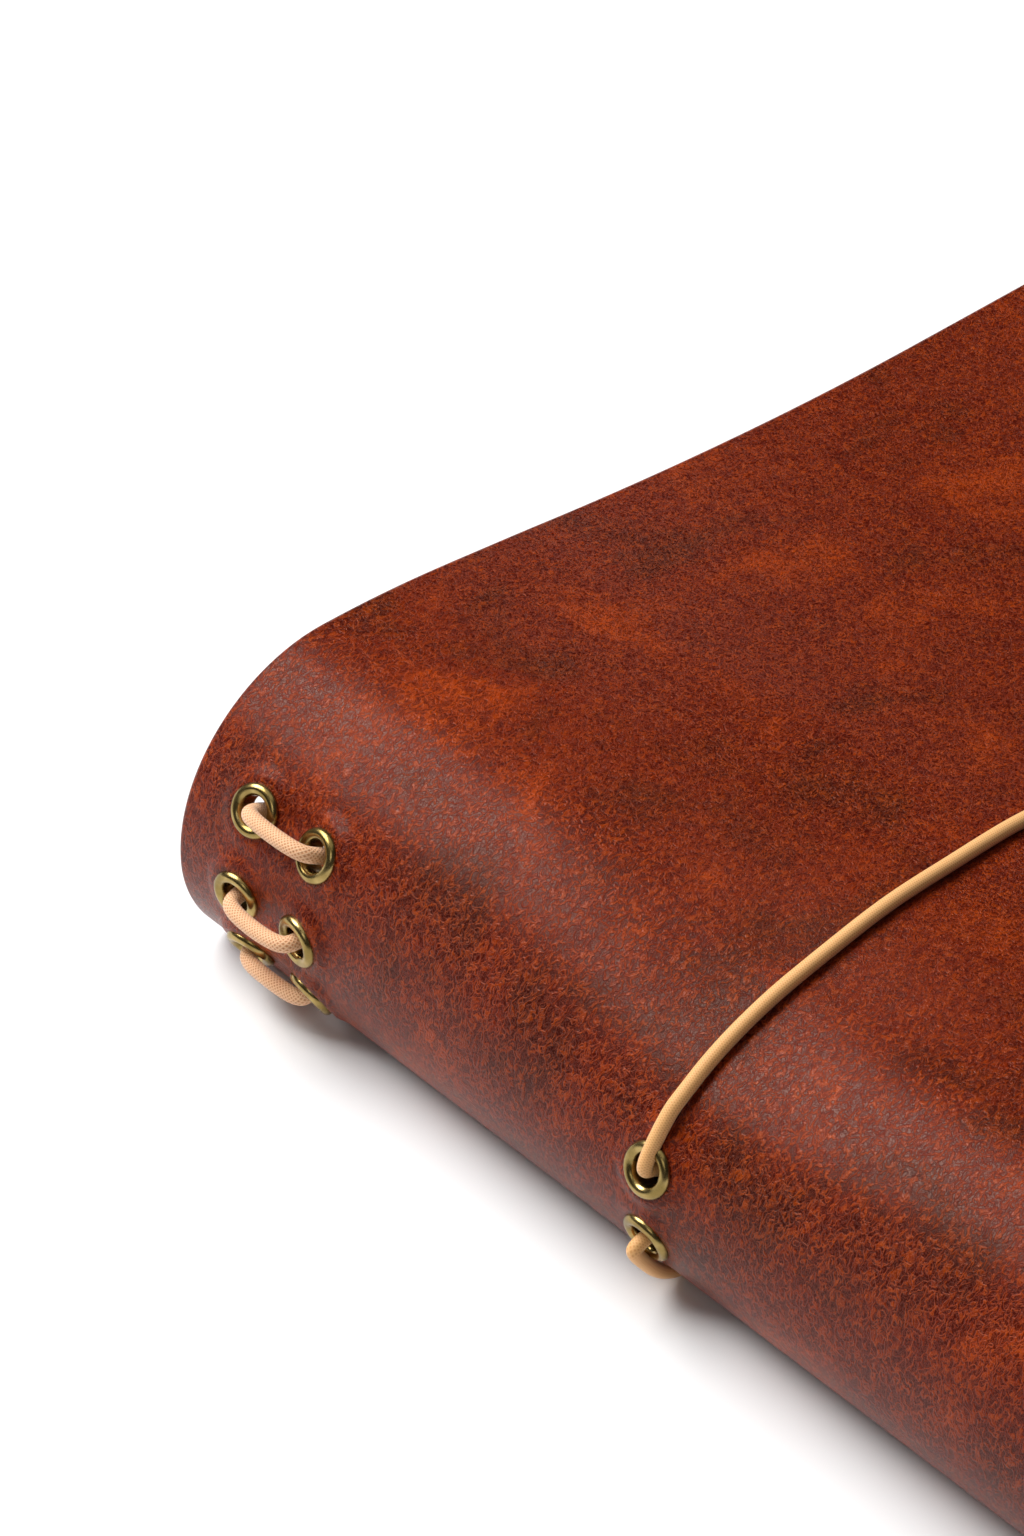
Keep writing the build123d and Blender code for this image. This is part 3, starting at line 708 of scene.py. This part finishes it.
@dataclass
class LeatherCover:
    """The cover: one thick piece of leather, from the back cover round the spine to the front cover.

    It is made as two pieces that meet along the middle of the spine.
    """

    shape: CaseShape
    leather: bpy.types.Material
    corner: float = 9.0
    edge_round: float = 0.9
    hole: float = 3.3
    seat_flat: float = 4.9
    seat_fade: float = 7.6
    dimple: float = 0.7
    waist_depth: float = 5.3
    waist_at: float = 28.0
    waist_reach: float = 38.0
    waist_width: float = 34.0
    fill_height: float = 2.4
    fill_width: float = 75.0
    groove_depth: float = 2.6
    groove_thin: float = 0.6
    bite: float = 0.35
    cord_radius: float = 1.22
    cord_gap: float = 0.1
    seat_reach: float = 6.0
    rim_lap: float = 1.2
    channel_flat: float = 1.45
    channel_edge: float = 2.9
    wave: float = 0.32
    ripple: float = 0.07
    join_turn: float = -8.0

    def columns(self) -> np.ndarray:
        """Places along Y of the mesh's columns, closest where the leather has most shape."""
        half = self.shape.length / 2.0
        from_end = np.concatenate([[0.0, 0.06, 0.2, 0.45, 0.8, 1.3, 2.0, 3.0, 4.2, 5.6], steps(7.0, 36.0, 0.68)])
        low, high = self.shape.closure_y - 9.0, self.shape.closure_y + 9.0
        return np.concatenate([-half + from_end, steps(36.0 - half, low, 2.6), steps(low, high, 0.45),
                               steps(high, half - 36.0, 2.6),
                               [half - 36.0], (half - from_end)[::-1]])

    def lift(self, travelled: np.ndarray, y: np.ndarray) -> np.ndarray:
        """How far the leather stands out from the plain section: pulled in at the elastic, full past it.

        Args:
            travelled: Length along the section from the upper middle eyelet.
            y: Place along the spine.

        Returns:
            Height above the plain section, negative where the leather is pulled in.
        """
        reach = np.clip((travelled - self.waist_at) / self.waist_reach, -1.0, 1.0)
        beside = y - self.shape.closure_y
        pulled = self.waist_depth * 0.5 * (1.0 + np.cos(math.pi * reach)) * np.exp(-((beside / self.waist_width) ** 2))
        full = smoothstep(travelled, 60.0, 85.0) * (1.0 - smoothstep(travelled, 100.0, 185.0))
        return self.fill_height * full * np.exp(-((beside / self.fill_width) ** 2)) - pulled

    def grids(self) -> tuple[np.ndarray, np.ndarray, np.ndarray, np.ndarray]:
        """Points of the leather's outer and inner faces, the cells that exist, and the turn of each row."""
        shape = self.shape
        section, outwards, travelled = shape.stations()
        columns, half = self.columns(), shape.length / 2.0
        x, z = section[:, 0][:, None], section[:, 1][:, None]
        corner_x = np.clip(x - (shape.fore_x - self.corner), 0.0, self.corner)
        half_here = half - self.corner + np.sqrt(np.maximum(self.corner**2 - corner_x**2, 0.0))
        y = columns[None, :] * half_here / half
        across = np.broadcast_to(travelled[:, None], y.shape)
        out = np.stack([outwards[:, 0], np.zeros(len(section)), outwards[:, 1]], axis=-1)[:, None, :]
        plain = np.stack([np.broadcast_to(x, y.shape), y, np.broadcast_to(z, y.shape)], axis=-1)
        upper = (z > 12.0) & (outwards[:, 1][:, None] > -0.4)
        height = np.where(upper, self.lift(across, y), 0.0)
        beside = y - shape.closure_y
        height = height - self.bite * np.exp(-((beside / 1.2) ** 2)) * smoothstep(across, 4.0, 9.0)
        waves = np.array([noise.noise(Vector(point) / 38.0) for point in plain.reshape(-1, 3)]).reshape(y.shape)
        ripples = np.array([noise.noise(Vector(point) / 11.0) for point in plain.reshape(-1, 3)]).reshape(y.shape)
        calm = np.where(upper, smoothstep(z, 12.0, 22.0), 0.0) * smoothstep(half - np.abs(y), 0.0, 40.0)
        height = height + calm * (self.wave * (waves - 0.4) + self.ripple * (ripples - 0.5))
        below = np.where(outwards[:, 1][:, None] < -0.65, 1.0, 0.0) * smoothstep(-outwards[:, 1][:, None], 0.65, 0.95)
        channel = below * (1.0 - smoothstep(np.abs(beside), self.channel_flat, self.channel_edge))
        outer = plain + out * (height - self.groove_depth * channel)[..., None]
        near = np.full(y.shape, 1e3)
        seats = [seat for name in shape.rows for end in End for seat in shape.pair(name, end)]
        seats += [shape.seat(row, shape.closure_y) for row in shape.closure]
        for name in shape.rows:
            for end in End:
                pair = shape.pair(name, end)
                middle = (pair[0].origin + pair[1].origin) / 2.0
                apart = plain - middle
                along = apart[..., 1] ** 2
                around = (apart**2).sum(-1) - along
                outer -= out * (self.dimple * np.exp(-along / 9.0 - around / 12.0))[..., None]
        axes = []
        for seat in seats:
            apart = outer - seat.origin
            stand = apart @ seat.facing
            radial = apart - stand[..., None] * seat.facing
            radius = np.linalg.norm(radial, axis=-1)
            pressed = np.where(np.abs(stand) < self.seat_reach,
                               1.0 - smoothstep(radius, self.seat_flat, self.seat_fade), 0.0)
            outer -= (pressed * stand)[..., None] * seat.facing
            here = np.where(np.abs(stand) < self.seat_reach, radius, 1e3)
            near = np.minimum(near, here)
            axes.append((seat, here, unit(radial)))
        flow = np.cross(np.gradient(outer, axis=1), np.gradient(outer, axis=0))
        face = unit(flow) * np.sign((flow * out).sum(-1))[..., None]
        inner = outer - face * (shape.leather - self.groove_thin * channel)[..., None]
        open_point = near < self.hole
        cells = ~(open_point[:-1, :-1] | open_point[1:, :-1] | open_point[:-1, 1:] | open_point[1:, 1:])
        lost = np.zeros(y.shape, bool)
        for row_step in (0, 1):
            for column_step in (0, 1):
                lost[row_step : row_step + cells.shape[0], column_step : column_step + cells.shape[1]] |= ~cells
        for seat, radius, outward in axes:
            rim = lost & (radius < self.hole + self.rim_lap) & (radius >= self.hole)
            outer[rim] = (seat.origin + outward * self.hole)[rim]
            inner[rim] = (seat.origin + outward * self.hole)[rim] - seat.facing * shape.leather
        inset = np.minimum(half - np.abs(y), shape.fore_x - x)
        round_x, round_y = x - (shape.fore_x - self.corner), np.abs(y) - (half - self.corner)
        inset = np.where((round_x > 0) & (round_y > 0), self.corner - np.hypot(round_x, round_y), inset)
        outer, inner = burnish(outer, inner, np.maximum(inset, 0.0), self.edge_round)
        return outer, inner, cells, np.degrees(np.arctan2(outwards[:, 1], -outwards[:, 0]))

    def build(self) -> list[bpy.types.Object]:
        """Build the two pieces and let them stand for the covers and spine."""
        outer, inner, cells, turns = self.grids()
        rows, columns = outer.shape[:2]
        points = np.concatenate([outer.reshape(-1, 3), inner.reshape(-1, 3)])
        normals = vertex_normals(points, sheet_quads(rows, columns, cells, None))
        half_way = int(np.argmax((turns > self.join_turn) & (outer[:, 0, 0] < self.shape.spine_x + 12.0)))
        pieces = []
        for name, kept_rows, bodies, turn, before, after, nodes in (
            ("back_cover_leather", slice(0, half_way), ("back_cover", "spine"), -50.0, 4.0, 3.0,
             ("back_cover", "spine")),
            ("front_cover_leather", slice(half_way, rows - 1), ("spine", "front_cover"), 50.0, 4.5, 14.0,
             ("front_cover", "spine")),
        ):
            present = np.zeros_like(cells)
            present[kept_rows] = cells[kept_rows]
            quads = sheet_quads(rows, columns, present, half_way)
            used, quads = np.unique(quads, return_inverse=True)
            piece = make_object(name, points[used], quads.reshape(-1, 4).tolist(), normals[used])
            fold = self.shape.spine_point(turn)
            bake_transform(piece)
            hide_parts(*nodes)
            pieces.append(dress(piece, self.leather))
        return pieces

    def cord_run(self, spacing: float) -> list[np.ndarray]:
        """Route of the elastic where it lies on the leather, from the shoulder to the fore-edge."""
        section, outwards, travelled = self.shape.stations()
        middle = self.shape.closure_y
        height = self.lift(travelled, np.full(len(travelled), middle)) + self.cord_radius - self.bite + self.cord_gap
        route = []
        for want in np.arange(9.0, travelled[-1] - 6.0, spacing):
            at = int(np.argmin(np.abs(travelled - want)))
            place = section[at] + outwards[at] * height[at]
            route.append(np.array([place[0], middle, place[1]]))
        return route


@dataclass
class BrassFittings:
    """Eyelets and washers: the solid shapes stay, dressed in brass."""

    brass: bpy.types.Material
    groups: tuple = ("far", "near", "closure")

    def build(self, nodes: dict) -> list[bpy.types.Object]:
        """Dress the eyelets and washers in brass."""
        pieces = []
        for group in self.groups:
            for kind, slot in (("eyelets", "eyelet_brass"), ("washers", "washer_brass")):
                piece = nodes[f"{group}_{kind}"]
                pieces.append(dress(piece, self.brass))
        return pieces


@dataclass
class LeafElastic:
    """Elastic of one leaf: two runs inside the spine, a loop outside at each end, and its knot."""

    shape: CaseShape
    name: str
    cord: bpy.types.Material
    proud: float
    droop: float
    radius: float = 1.36
    depth: float = 7.8
    spread: float = 1.35
    knot: float = 2.0
    hem_end: float = 60.0
    lip: float = 0.4
    throat: float = 3.5
    over: float = 5.0

    def build(self) -> list[bpy.types.Object]:
        """Build the cord and its knot on the spine."""
        turn, pitch = self.shape.rows[self.name]
        outward, origin = polar(pitch), self.shape.spine_point(turn)
        upward = np.array([math.sin(math.radians(pitch)), 0.0, math.cos(math.radians(pitch))])
        outer_y, inner_y, deep = self.shape.outer_y, self.shape.inner_y, -self.depth

        def place(across: float, height: float, y: float) -> np.ndarray:
            """Point beside the row: across it, out from the spine, and along Y."""
            return origin + upward * across + outward * height + ALONG * y

        def loop(side: int) -> list[np.ndarray]:
            """Route out through the outer eyelet of an end and back in through the inner one."""
            return [place(2.9, deep, side * (inner_y + self.over)), place(0.6, deep, side * (outer_y - 0.6)),
                    place(0.0, -self.throat, side * outer_y),
                    place(0.0, self.lip, side * outer_y), place(-0.25 * self.droop, self.proud,
                                                                side * (outer_y - 1.2)),
                    place(-self.droop, self.proud + 0.35, side * (outer_y + inner_y) / 2.0),
                    place(-0.25 * self.droop, self.proud, side * (inner_y + 1.2)), place(0.0, self.lip, side * inner_y),
                    place(0.0, -self.throat, side * inner_y), place(-0.6, deep, side * (inner_y - 0.6)),
                    place(-self.spread, deep, side * (self.hem_end + self.over))]

        centre = place(3.4, deep, inner_y - 9.0)
        route = [centre + ALONG] + loop(1) + loop(-1)[::-1]
        route += [place(self.spread, deep, -self.hem_end - 3.0), place(self.spread, deep, self.hem_end + 1.0),
                  centre - ALONG]
        band = make_cord(f"{self.name}_leaf_cord", smooth_line(route, 14), self.radius)
        knot = make_cord(f"{self.name}_leaf_cord_knot", knot_line(centre, self.knot * 0.72), self.radius * 0.62, 14)
        for piece in (band, knot):
            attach(dress(piece, self.cord), "spine")
        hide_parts(f"{self.name}_leaf_elastic")
        return [band, knot]


@dataclass
class ClosureElastic:
    """Elastic round the closed case, from the upper middle eyelet to the lower one, knotted inside."""

    cover: LeatherCover
    cord: bpy.types.Material
    radius: float = 1.22
    under: float = 1.25
    clear: float = 0.1
    loop: float = 3.4
    dive: float = -30.5
    depth: float = 4.7
    knot_rise: float = 2.9

    def build(self) -> list[bpy.types.Object]:
        """Build the band round the case and the short knotted piece inside the spine."""
        shape = self.cover.shape
        upper, lower = (shape.seat(row, shape.closure_y) for row in shape.closure)
        run = self.cover.cord_run(6.0)
        rise = unit(run[1] - run[0])
        fore, top, across = shape.fore_x + self.radius + self.clear, run[-1][2], ALONG * shape.closure_y
        dive = np.array([math.sin(math.radians(self.dive)), 0.0, math.cos(math.radians(self.dive))])
        mouth = lower.origin + lower.facing * self.loop
        heel = mouth - dive * (mouth[2] - self.under) / dive[2]
        corners = [(fore - 3.0, top), (fore, top), (fore, top - 3.0), (fore, self.under + 3.0), (fore, self.under),
                   (fore - 3.0, self.under), (heel[0] + 14.0, self.under)]
        route = [upper.origin + upper.facing * 0.2, upper.origin + upper.facing * 1.6, run[0] - rise * 4.0] + run
        route += [np.array([x, 0.0, z]) + across for x, z in corners]
        route += [heel + np.array([1.5, 0.0, 0.0]), mouth - dive * 1.2,
                  mouth - lower.facing * 0.9 + dive * 0.3, lower.origin + lower.facing * 0.2]
        band = make_cord("closure_band", smooth_line(route, 12), self.radius)
        dress(band, self.cord)
        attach(band, "back_cover")
        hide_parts("closure_elastic")
        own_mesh(band)
        inner_low = lower.origin - lower.facing * self.depth
        centre = inner_low + np.array([0.2, 0.0, self.knot_rise])
        inside = [upper.origin - upper.facing * 0.1, upper.origin - upper.facing * self.depth,
                  centre + np.array([0.0, 0.0, 0.6]),
                  centre - np.array([0.0, 0.0, 0.6]), inner_low, lower.origin - lower.facing * 0.1]
        stub = make_cord("closure_band_inside", smooth_line(inside, 12), self.radius)
        knot = make_cord("closure_band_knot", knot_line(centre, 1.1), self.radius * 0.6, 14)
        for piece in (stub, knot):
            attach(dress(piece, self.cord), "spine")
        return [band, stub, knot]


@dataclass
class BrushLeaf:
    """One leaf: a panel hemmed round its elastic, a pocket formed into channels, and a bound foot."""

    shape: CaseShape
    name: str
    face: Face
    base: float
    panel_leather: bpy.types.Material
    pocket_leather: bpy.types.Material
    binding_leather: bpy.types.Material
    thread: bpy.types.Material
    panel: float = 1.5
    pocket: float = 1.2
    channel: float = 9.0
    count: int = 6
    pitch: float = 27.4
    first: float = 16.0
    mouth: float = 46.0
    end_margin: float = 6.0
    fore_margin: float = 10.0
    start: float = 24.0
    binding: float = 1.4
    hem_radius: float = 3.05
    hem_wall: float = 0.7
    hem_start: float = 9.0
    hem_end: float = 60.0
    hem_lap: float = 8.0
    fillet: float = 1.6
    cord_depth: float = 7.8
    stitch: float = 3.4
    stitch_gap: float = 1.2

    def __post_init__(self) -> None:
        """Work out the leaf's levels and its edges."""
        self.side = self.face.value
        self.outer_z = self.base if self.side > 0 else self.base + self.panel + self.channel
        self.sewn_z = self.outer_z + self.side * self.panel
        self.low_x, self.high_x = self.shape.spine_x + self.start, self.shape.fore_x - self.fore_margin
        self.half = self.shape.length / 2.0 - self.end_margin
        self.channels = [self.low_x + self.first + self.pitch * number for number in range(self.count)]

    def body(self) -> str:
        """Name of the moving body that carries the leaf."""
        return f"{self.name}_leaf"

    def level(self, height: float) -> float:
        """Z of a height above the face that the channels are sewn to."""
        return self.sewn_z + self.side * height

    def edge_steps(self, low: float, high: float, spacing: float) -> np.ndarray:
        """Places from low to high, closer together at both ends, where the leather is rounded."""
        close = np.array([0.0, 0.08, 0.22, 0.45, 0.8])
        return np.concatenate([low + close, steps(low + 1.6, high - 0.8, spacing), (high - close)[::-1]])

    def make_panel(self) -> bpy.types.Object:
        """Flat panel with rounded cut edges."""
        x, y = np.meshgrid(self.edge_steps(self.low_x, self.high_x, 6.0),
                           self.edge_steps(-self.half, self.half, 6.0), indexing="ij")
        sag = 0.12 * np.sin(x / 31.0) * np.sin(y / 37.0)
        outer = np.stack([x, y, np.full_like(x, self.sewn_z)], axis=-1)
        inner = np.stack([x, y, np.full_like(x, self.outer_z) + self.side * np.abs(sag)], axis=-1)
        inset = np.minimum(np.minimum(x - self.low_x, self.high_x - x), self.half - np.abs(y))
        return make_sheet(f"{self.name}_panel_leather", *burnish(outer, inner, inset, 0.7))

    def make_hem(self, end: End) -> bpy.types.Object:
        """Half of the hem: lapped on the panel, taken round the cords, and back to the panel's edge."""
        turn, pitch = self.shape.rows[self.name]
        centre = (self.shape.spine_point(turn) - polar(pitch) * self.cord_depth)[[0, 2]]
        back = np.array([self.low_x, self.outer_z - self.side * 0.35])
        front = np.array([self.low_x, self.sewn_z + self.side * 0.35])
        reach = unit(np.array([self.low_x, (self.outer_z + self.sewn_z) / 2.0]) - centre)
        lean = math.atan2(reach[1], reach[0])
        spread = math.radians(70.0) * -self.side
        around = [centre + self.hem_radius * np.array([math.cos(lean + angle), math.sin(lean + angle)])
                  for angle in np.linspace(spread, spread + self.side * math.radians(-220.0), 30)]
        path = [back + np.array([run, 0.0]) for run in np.linspace(self.hem_lap, 1.0, 5)]
        path += [back + (around[0] - back) * share for share in np.linspace(0.05, 0.9, 6)] + around
        path += [around[-1] + (front - around[-1]) * share for share in np.linspace(0.1, 1.0, 6)]
        line = np.array(path)
        for _ in range(3):
            line[1:-1] = (line[:-2] + 2.0 * line[1:-1] + line[2:]) / 4.0
        forward = unit(np.gradient(line, axis=0))
        across = np.stack([-forward[:, 1], forward[:, 0]], axis=-1) * self.hem_wall / 2.0
        low, high = sorted((end.value * self.hem_start, end.value * self.hem_end))
        y = self.edge_steps(low, high, 5.0)
        grid = np.stack([np.repeat(line[:, :1], len(y), 1), np.repeat(y[None], len(line), 0),
                         np.repeat(line[:, 1:], len(y), 1)], axis=-1)
        move = np.stack([across[:, 0], np.zeros(len(line)), across[:, 1]], axis=-1)[:, None, :]
        inset = np.minimum(grid[..., 1] - low, high - grid[..., 1])
        return make_sheet(f"{self.name}_hem_{end.name.lower()}", *burnish(grid + move, grid - move, inset, 0.5))

    def section(self) -> tuple[np.ndarray, np.ndarray]:
        """Outer and inner lines of the formed pocket across the channels, as X and height above the panel."""
        outer, inner = [], []
        lift = math.degrees(math.asin((self.pocket + self.fillet) / (self.channel + self.fillet)))
        shift = (self.channel + self.fillet) * math.cos(math.radians(lift))
        bore = self.channel - self.pocket
        previous = self.low_x
        for middle in self.channels + [None]:
            stop = self.high_x if middle is None else middle - shift
            close = [0.0, 0.1, 0.3, 0.6] if previous == self.low_x else []
            flat = steps(previous + (1.2 if close else 0.4), stop - 0.3, 2.2)
            for x in [previous + inset for inset in close] + list(flat) + [stop]:
                outer.append((x, self.pocket))
                inner.append((x, 0.02))
            if middle is None:
                break
            for share in np.linspace(0.2, 1.0, 5):
                angle = math.radians(-90.0 + share * (90.0 - lift))
                outer.append((middle - shift + self.fillet * math.cos(angle),
                              self.pocket + self.fillet + self.fillet * math.sin(angle)))
                inner.append((middle - shift + share * (shift - bore), 0.02))
            for share in np.linspace(0.03, 0.97, 30):
                angle, inside = math.radians(180.0 - lift - share * (180.0 - 2.0 * lift)), math.pi * (1.0 - share)
                outer.append((middle + self.channel * math.cos(angle), self.channel * math.sin(angle)))
                inner.append((middle + bore * math.cos(inside), 0.02 + bore * math.sin(inside)))
            for share in np.linspace(0.0, 0.8, 5):
                angle = math.radians(180.0 + lift + share * (90.0 - lift))
                outer.append((middle + shift + self.fillet * math.cos(angle),
                              self.pocket + self.fillet + self.fillet * math.sin(angle)))
                inner.append((middle + bore + share * (shift - bore), 0.02))
            previous = middle + shift
        return np.array(outer), np.array(inner)

    def make_pocket(self) -> bpy.types.Object:
        """Pocket leather formed into channels, its mouth rolled a little open."""
        outer_line, inner_line = self.section()
        y = self.edge_steps(-self.half + self.binding, self.mouth, 4.0)
        flare = 0.25 * smoothstep(y, self.mouth - 7.0, self.mouth)[None, :]
        grids = []
        for line in (outer_line, inner_line):
            high = np.minimum(line[:, 1:] * (1.0 - 0.02 * flare), self.channel)
            grids.append(np.stack([np.repeat(line[:, :1], len(y), 1), np.repeat(y[None], len(line), 0),
                                   self.level(high) + 0.0 * y[None, :]], axis=-1))
        inset = self.mouth - grids[0][..., 1]
        return make_sheet(f"{self.name}_pocket_leather", *burnish(grids[0], grids[1], inset, 0.6))

    def make_binding(self) -> bpy.types.Object:
        """Strip across the foot, with rounded edges and a slight pucker at each channel."""
        x, height = np.meshgrid(self.edge_steps(self.low_x, self.high_x, 1.8),
                                self.edge_steps(0.03, self.channel, 1.0), indexing="ij")
        near = np.min([np.abs(x - middle) for middle in self.channels], axis=0)
        pucker = 0.18 * np.cos(np.clip(near / 13.7, 0, 1) * math.pi) * np.sin(math.pi * height / self.channel)
        outer = np.stack([x, -self.half + 0.2 - pucker, self.level(height)], axis=-1)
        inner = np.stack([x, np.full_like(x, -self.half + self.binding - 0.02), self.level(height)], axis=-1)
        inset = np.minimum(np.minimum(x - self.low_x, self.high_x - x),
                           np.minimum(height - 0.03, self.channel - height))
        return make_sheet(f"{self.name}_binding_leather", *burnish(outer, inner, inset, 0.55))

    def make_stitches(self) -> bpy.types.Object:
        """Rows of stitches: between the channels, along the foot, and along the hems."""
        rows = []
        lines = [self.low_x + 3.0] + [middle + self.pitch / 2.0 for middle in self.channels[:-1]] + [self.high_x - 3.0]
        for x in lines:
            for y in np.arange(-self.half + 6.0, self.mouth - 3.0, self.stitch + self.stitch_gap):
                rows.append(((x, y, self.level(self.pocket)), (0.0, 1.0, 0.0), (0.0, 0.0, self.side)))
        for x in np.arange(self.low_x + 3.0, self.high_x - 4.0, self.stitch + self.stitch_gap):
            rows.append(((x, -self.half + 0.12, self.level(1.6)), (1.0, 0.0, 0.0), (0.0, -1.0, 0.0)))
        for end in End:
            for y in np.arange(self.hem_start + 3.0, self.hem_end - 4.0, self.stitch + self.stitch_gap):
                rows.append(((self.low_x + self.hem_lap - 2.0, end.value * y, self.outer_z - self.side * 0.62),
                             (0.0, end.value, 0.0), (0.0, 0.0, -self.side)))
        rings, sides = 7, 8
        share = np.linspace(0.0, 1.0, rings)
        thick = 0.34 * np.sqrt(np.clip(1.0 - (2.0 * share - 1.0) ** 4, 0.03, 1.0))
        angles = np.linspace(0.0, 2.0 * math.pi, sides, endpoint=False)
        quads, caps = tube_quads(rings, sides)
        points, faces = [], []
        for number, (place, along, up) in enumerate(rows):
            along, up = np.array(along), np.array(up)
            rise = up * (0.22 * np.sin(math.pi * share) - 0.1)[:, None]
            middle = np.array(place) + share[:, None] * self.stitch * along + rise
            ring = np.cos(angles)[None, :, None] * np.cross(along, up) + np.sin(angles)[None, :, None] * up
            points.append((middle[:, None, :] + ring * thick[:, None, None]).reshape(-1, 3))
            base = number * rings * sides
            faces += (quads + base).tolist() + (np.array(caps) + base).tolist()
        return make_object(f"{self.name}_leaf_stitches", np.concatenate(points), faces)

    def build(self) -> list[bpy.types.Object]:
        """Build the leaf's pieces on its body."""
        panel, pocket, binding = self.make_panel(), self.make_pocket(), self.make_binding()
        hems, stitches = [self.make_hem(end) for end in End], self.make_stitches()
        dress(panel, self.panel_leather)
        dress(pocket, self.pocket_leather)
        dress(binding, self.binding_leather)
        for hem in hems:
            dress(hem, self.panel_leather)
        dress(stitches, self.thread)
        for piece in (panel, pocket, binding, *hems, stitches):
            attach(piece, self.body())
        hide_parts(f"{self.name}_leaf_panel")
        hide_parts(f"{self.name}_leaf_pocket")
        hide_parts(f"{self.name}_leaf_binding")
        return [panel, pocket, binding, *hems, stitches]


# ---------------------------------------------------------------- the studio


@dataclass
class Studio:
    """Pale floor, soft light and the camera."""

    paper: bpy.types.Material
    aim: tuple = (-90.96, 44.86, 72.01)
    azimuth: float = -42.3
    elevation: float = 39.5
    distance: float = 794.0
    lens: float = 127.43
    floor_size: float = 60000.0
    world: float = 0.04
    lights: tuple = (("soft_box_behind", 200.0, 51.0, 1500.0, (1100.0, 850.0), 31.0),
                     ("soft_box_above", 90.0, 86.0, 2000.0, (1900.0, 1900.0), 8.2),
                     ("soft_box_left", -62.0, 45.0, 1700.0, (600.0, 600.0), 2.0))

    def away(self, azimuth: float, elevation: float) -> Vector:
        """Direction from the case towards a place given by its two angles."""
        a, e = math.radians(azimuth), math.radians(elevation)
        return Vector((math.sin(a) * math.cos(e), -math.cos(a) * math.cos(e), math.sin(e)))

    def stand(self, thing: bpy.types.Object, aim: Vector, back: Vector, distance: float) -> None:
        """Put a camera or a light at a distance from what it faces, and link it to the scene."""
        thing.location = (aim + back * distance) * MM
        thing.rotation_mode = "QUATERNION"
        thing.rotation_quaternion = (-back).to_track_quat("-Z", "Y")
        bpy.context.scene.collection.objects.link(thing)

    def make_camera(self) -> None:
        """Set the camera by where it aims, its two angles and its distance."""
        data = bpy.data.cameras.new("studio_camera")
        data.lens, data.sensor_width, data.sensor_fit = self.lens, 36.0, "AUTO"
        data.clip_start, data.clip_end = 0.01, 20.0
        camera = bpy.data.objects.new("studio_camera", data)
        self.stand(camera, Vector(self.aim), self.away(self.azimuth, self.elevation), self.distance)
        bpy.context.scene.camera = camera

    def make_light(self, name: str, azimuth: float, elevation: float, distance: float, size: tuple,
                   power: float) -> None:
        """Add a white soft box that faces the case.

        Args:
            name: Light name.
            azimuth: Angle round the case, as for the camera.
            elevation: Angle above the floor.
            distance: From the case, in millimetres.
            size: Its width and height, in millimetres.
            power: In watts.
        """
        data = bpy.data.lights.new(name, "AREA")
        data.shape, data.size, data.size_y = "RECTANGLE", size[0] * MM, size[1] * MM
        data.energy = power
        self.stand(bpy.data.objects.new(name, data), Vector(), self.away(azimuth, elevation), distance)

    def build(self) -> None:
        """Build the floor, the lights, the surroundings and the camera."""
        half = self.floor_size / 2.0
        floor = make_object("paper_floor",
                            np.array([[-half, -half, 0], [half, -half, 0], [half, half, 0],
                                      [-half, half, 0.0]]), [[0, 1, 2, 3]])
        floor.data.materials.append(self.paper)
        for light in self.lights:
            self.make_light(*light)
        world = bpy.data.worlds.new("studio_surroundings")
        world.use_nodes = True
        world.node_tree.nodes["Background"].inputs[0].default_value = to_linear("#ffffff")
        world.node_tree.nodes["Background"].inputs[1].default_value = self.world
        bpy.context.scene.world = world
        bpy.context.scene.view_settings.view_transform = "Standard"
        self.make_camera()


def main() -> None:
    """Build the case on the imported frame, in the order that it is made."""
    logging.basicConfig(level=logging.INFO, format="%(name)s: %(message)s")
    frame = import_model()
    shape = CaseShape(spine_x=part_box("front_cover")[1].x / MM - CaseShape.width)
    cowhide, brass, thread = OiledCowhide().make(), AntiquedBrass().make(), WaxedThread().make()
    leaf_cord = BraidedElastic("leaf_elastic_braid", "#f8c79a", "#c9814c", 0.62, 12.0, 0.05).make()
    closure_cord = BraidedElastic("closure_elastic_braid", "#f2ba78", "#d8964f", 0.4, 9.0, 0.015).make()
    panel = CalfLining("panel_calf", "#8a4a26", "#6b3217").make()
    pocket = CalfLining("pocket_calf", "#a0592c", "#7d3d1b").make()
    binding = CalfLining("binding_calf", "#5e2a14", "#45190b").make()
    Studio(PaperSweep().make()).build()
    cover = LeatherCover(shape, cowhide)
    made = cover.build()
    made += BrassFittings(brass).build(frame["nodes"])
    for name, proud, droop in (("upper", 2.9, 0.2), ("middle", 2.6, 0.5), ("lower", 2.2, -0.9)):
        made += LeafElastic(shape, name, leaf_cord, proud, droop).build()
    made += ClosureElastic(cover, closure_cord).build()
    for name, face, base in (("upper", Face.UNDER, 27.3), ("middle", Face.UPPER, 16.1), ("lower", Face.UPPER, 4.9)):
        made += BrushLeaf(shape, name, face, base, panel, pocket, binding, thread).build()
    for piece in made:
        log.info("%s: %d points", piece.name, len(piece.data.vertices))


if __name__ == "__main__":
    main()
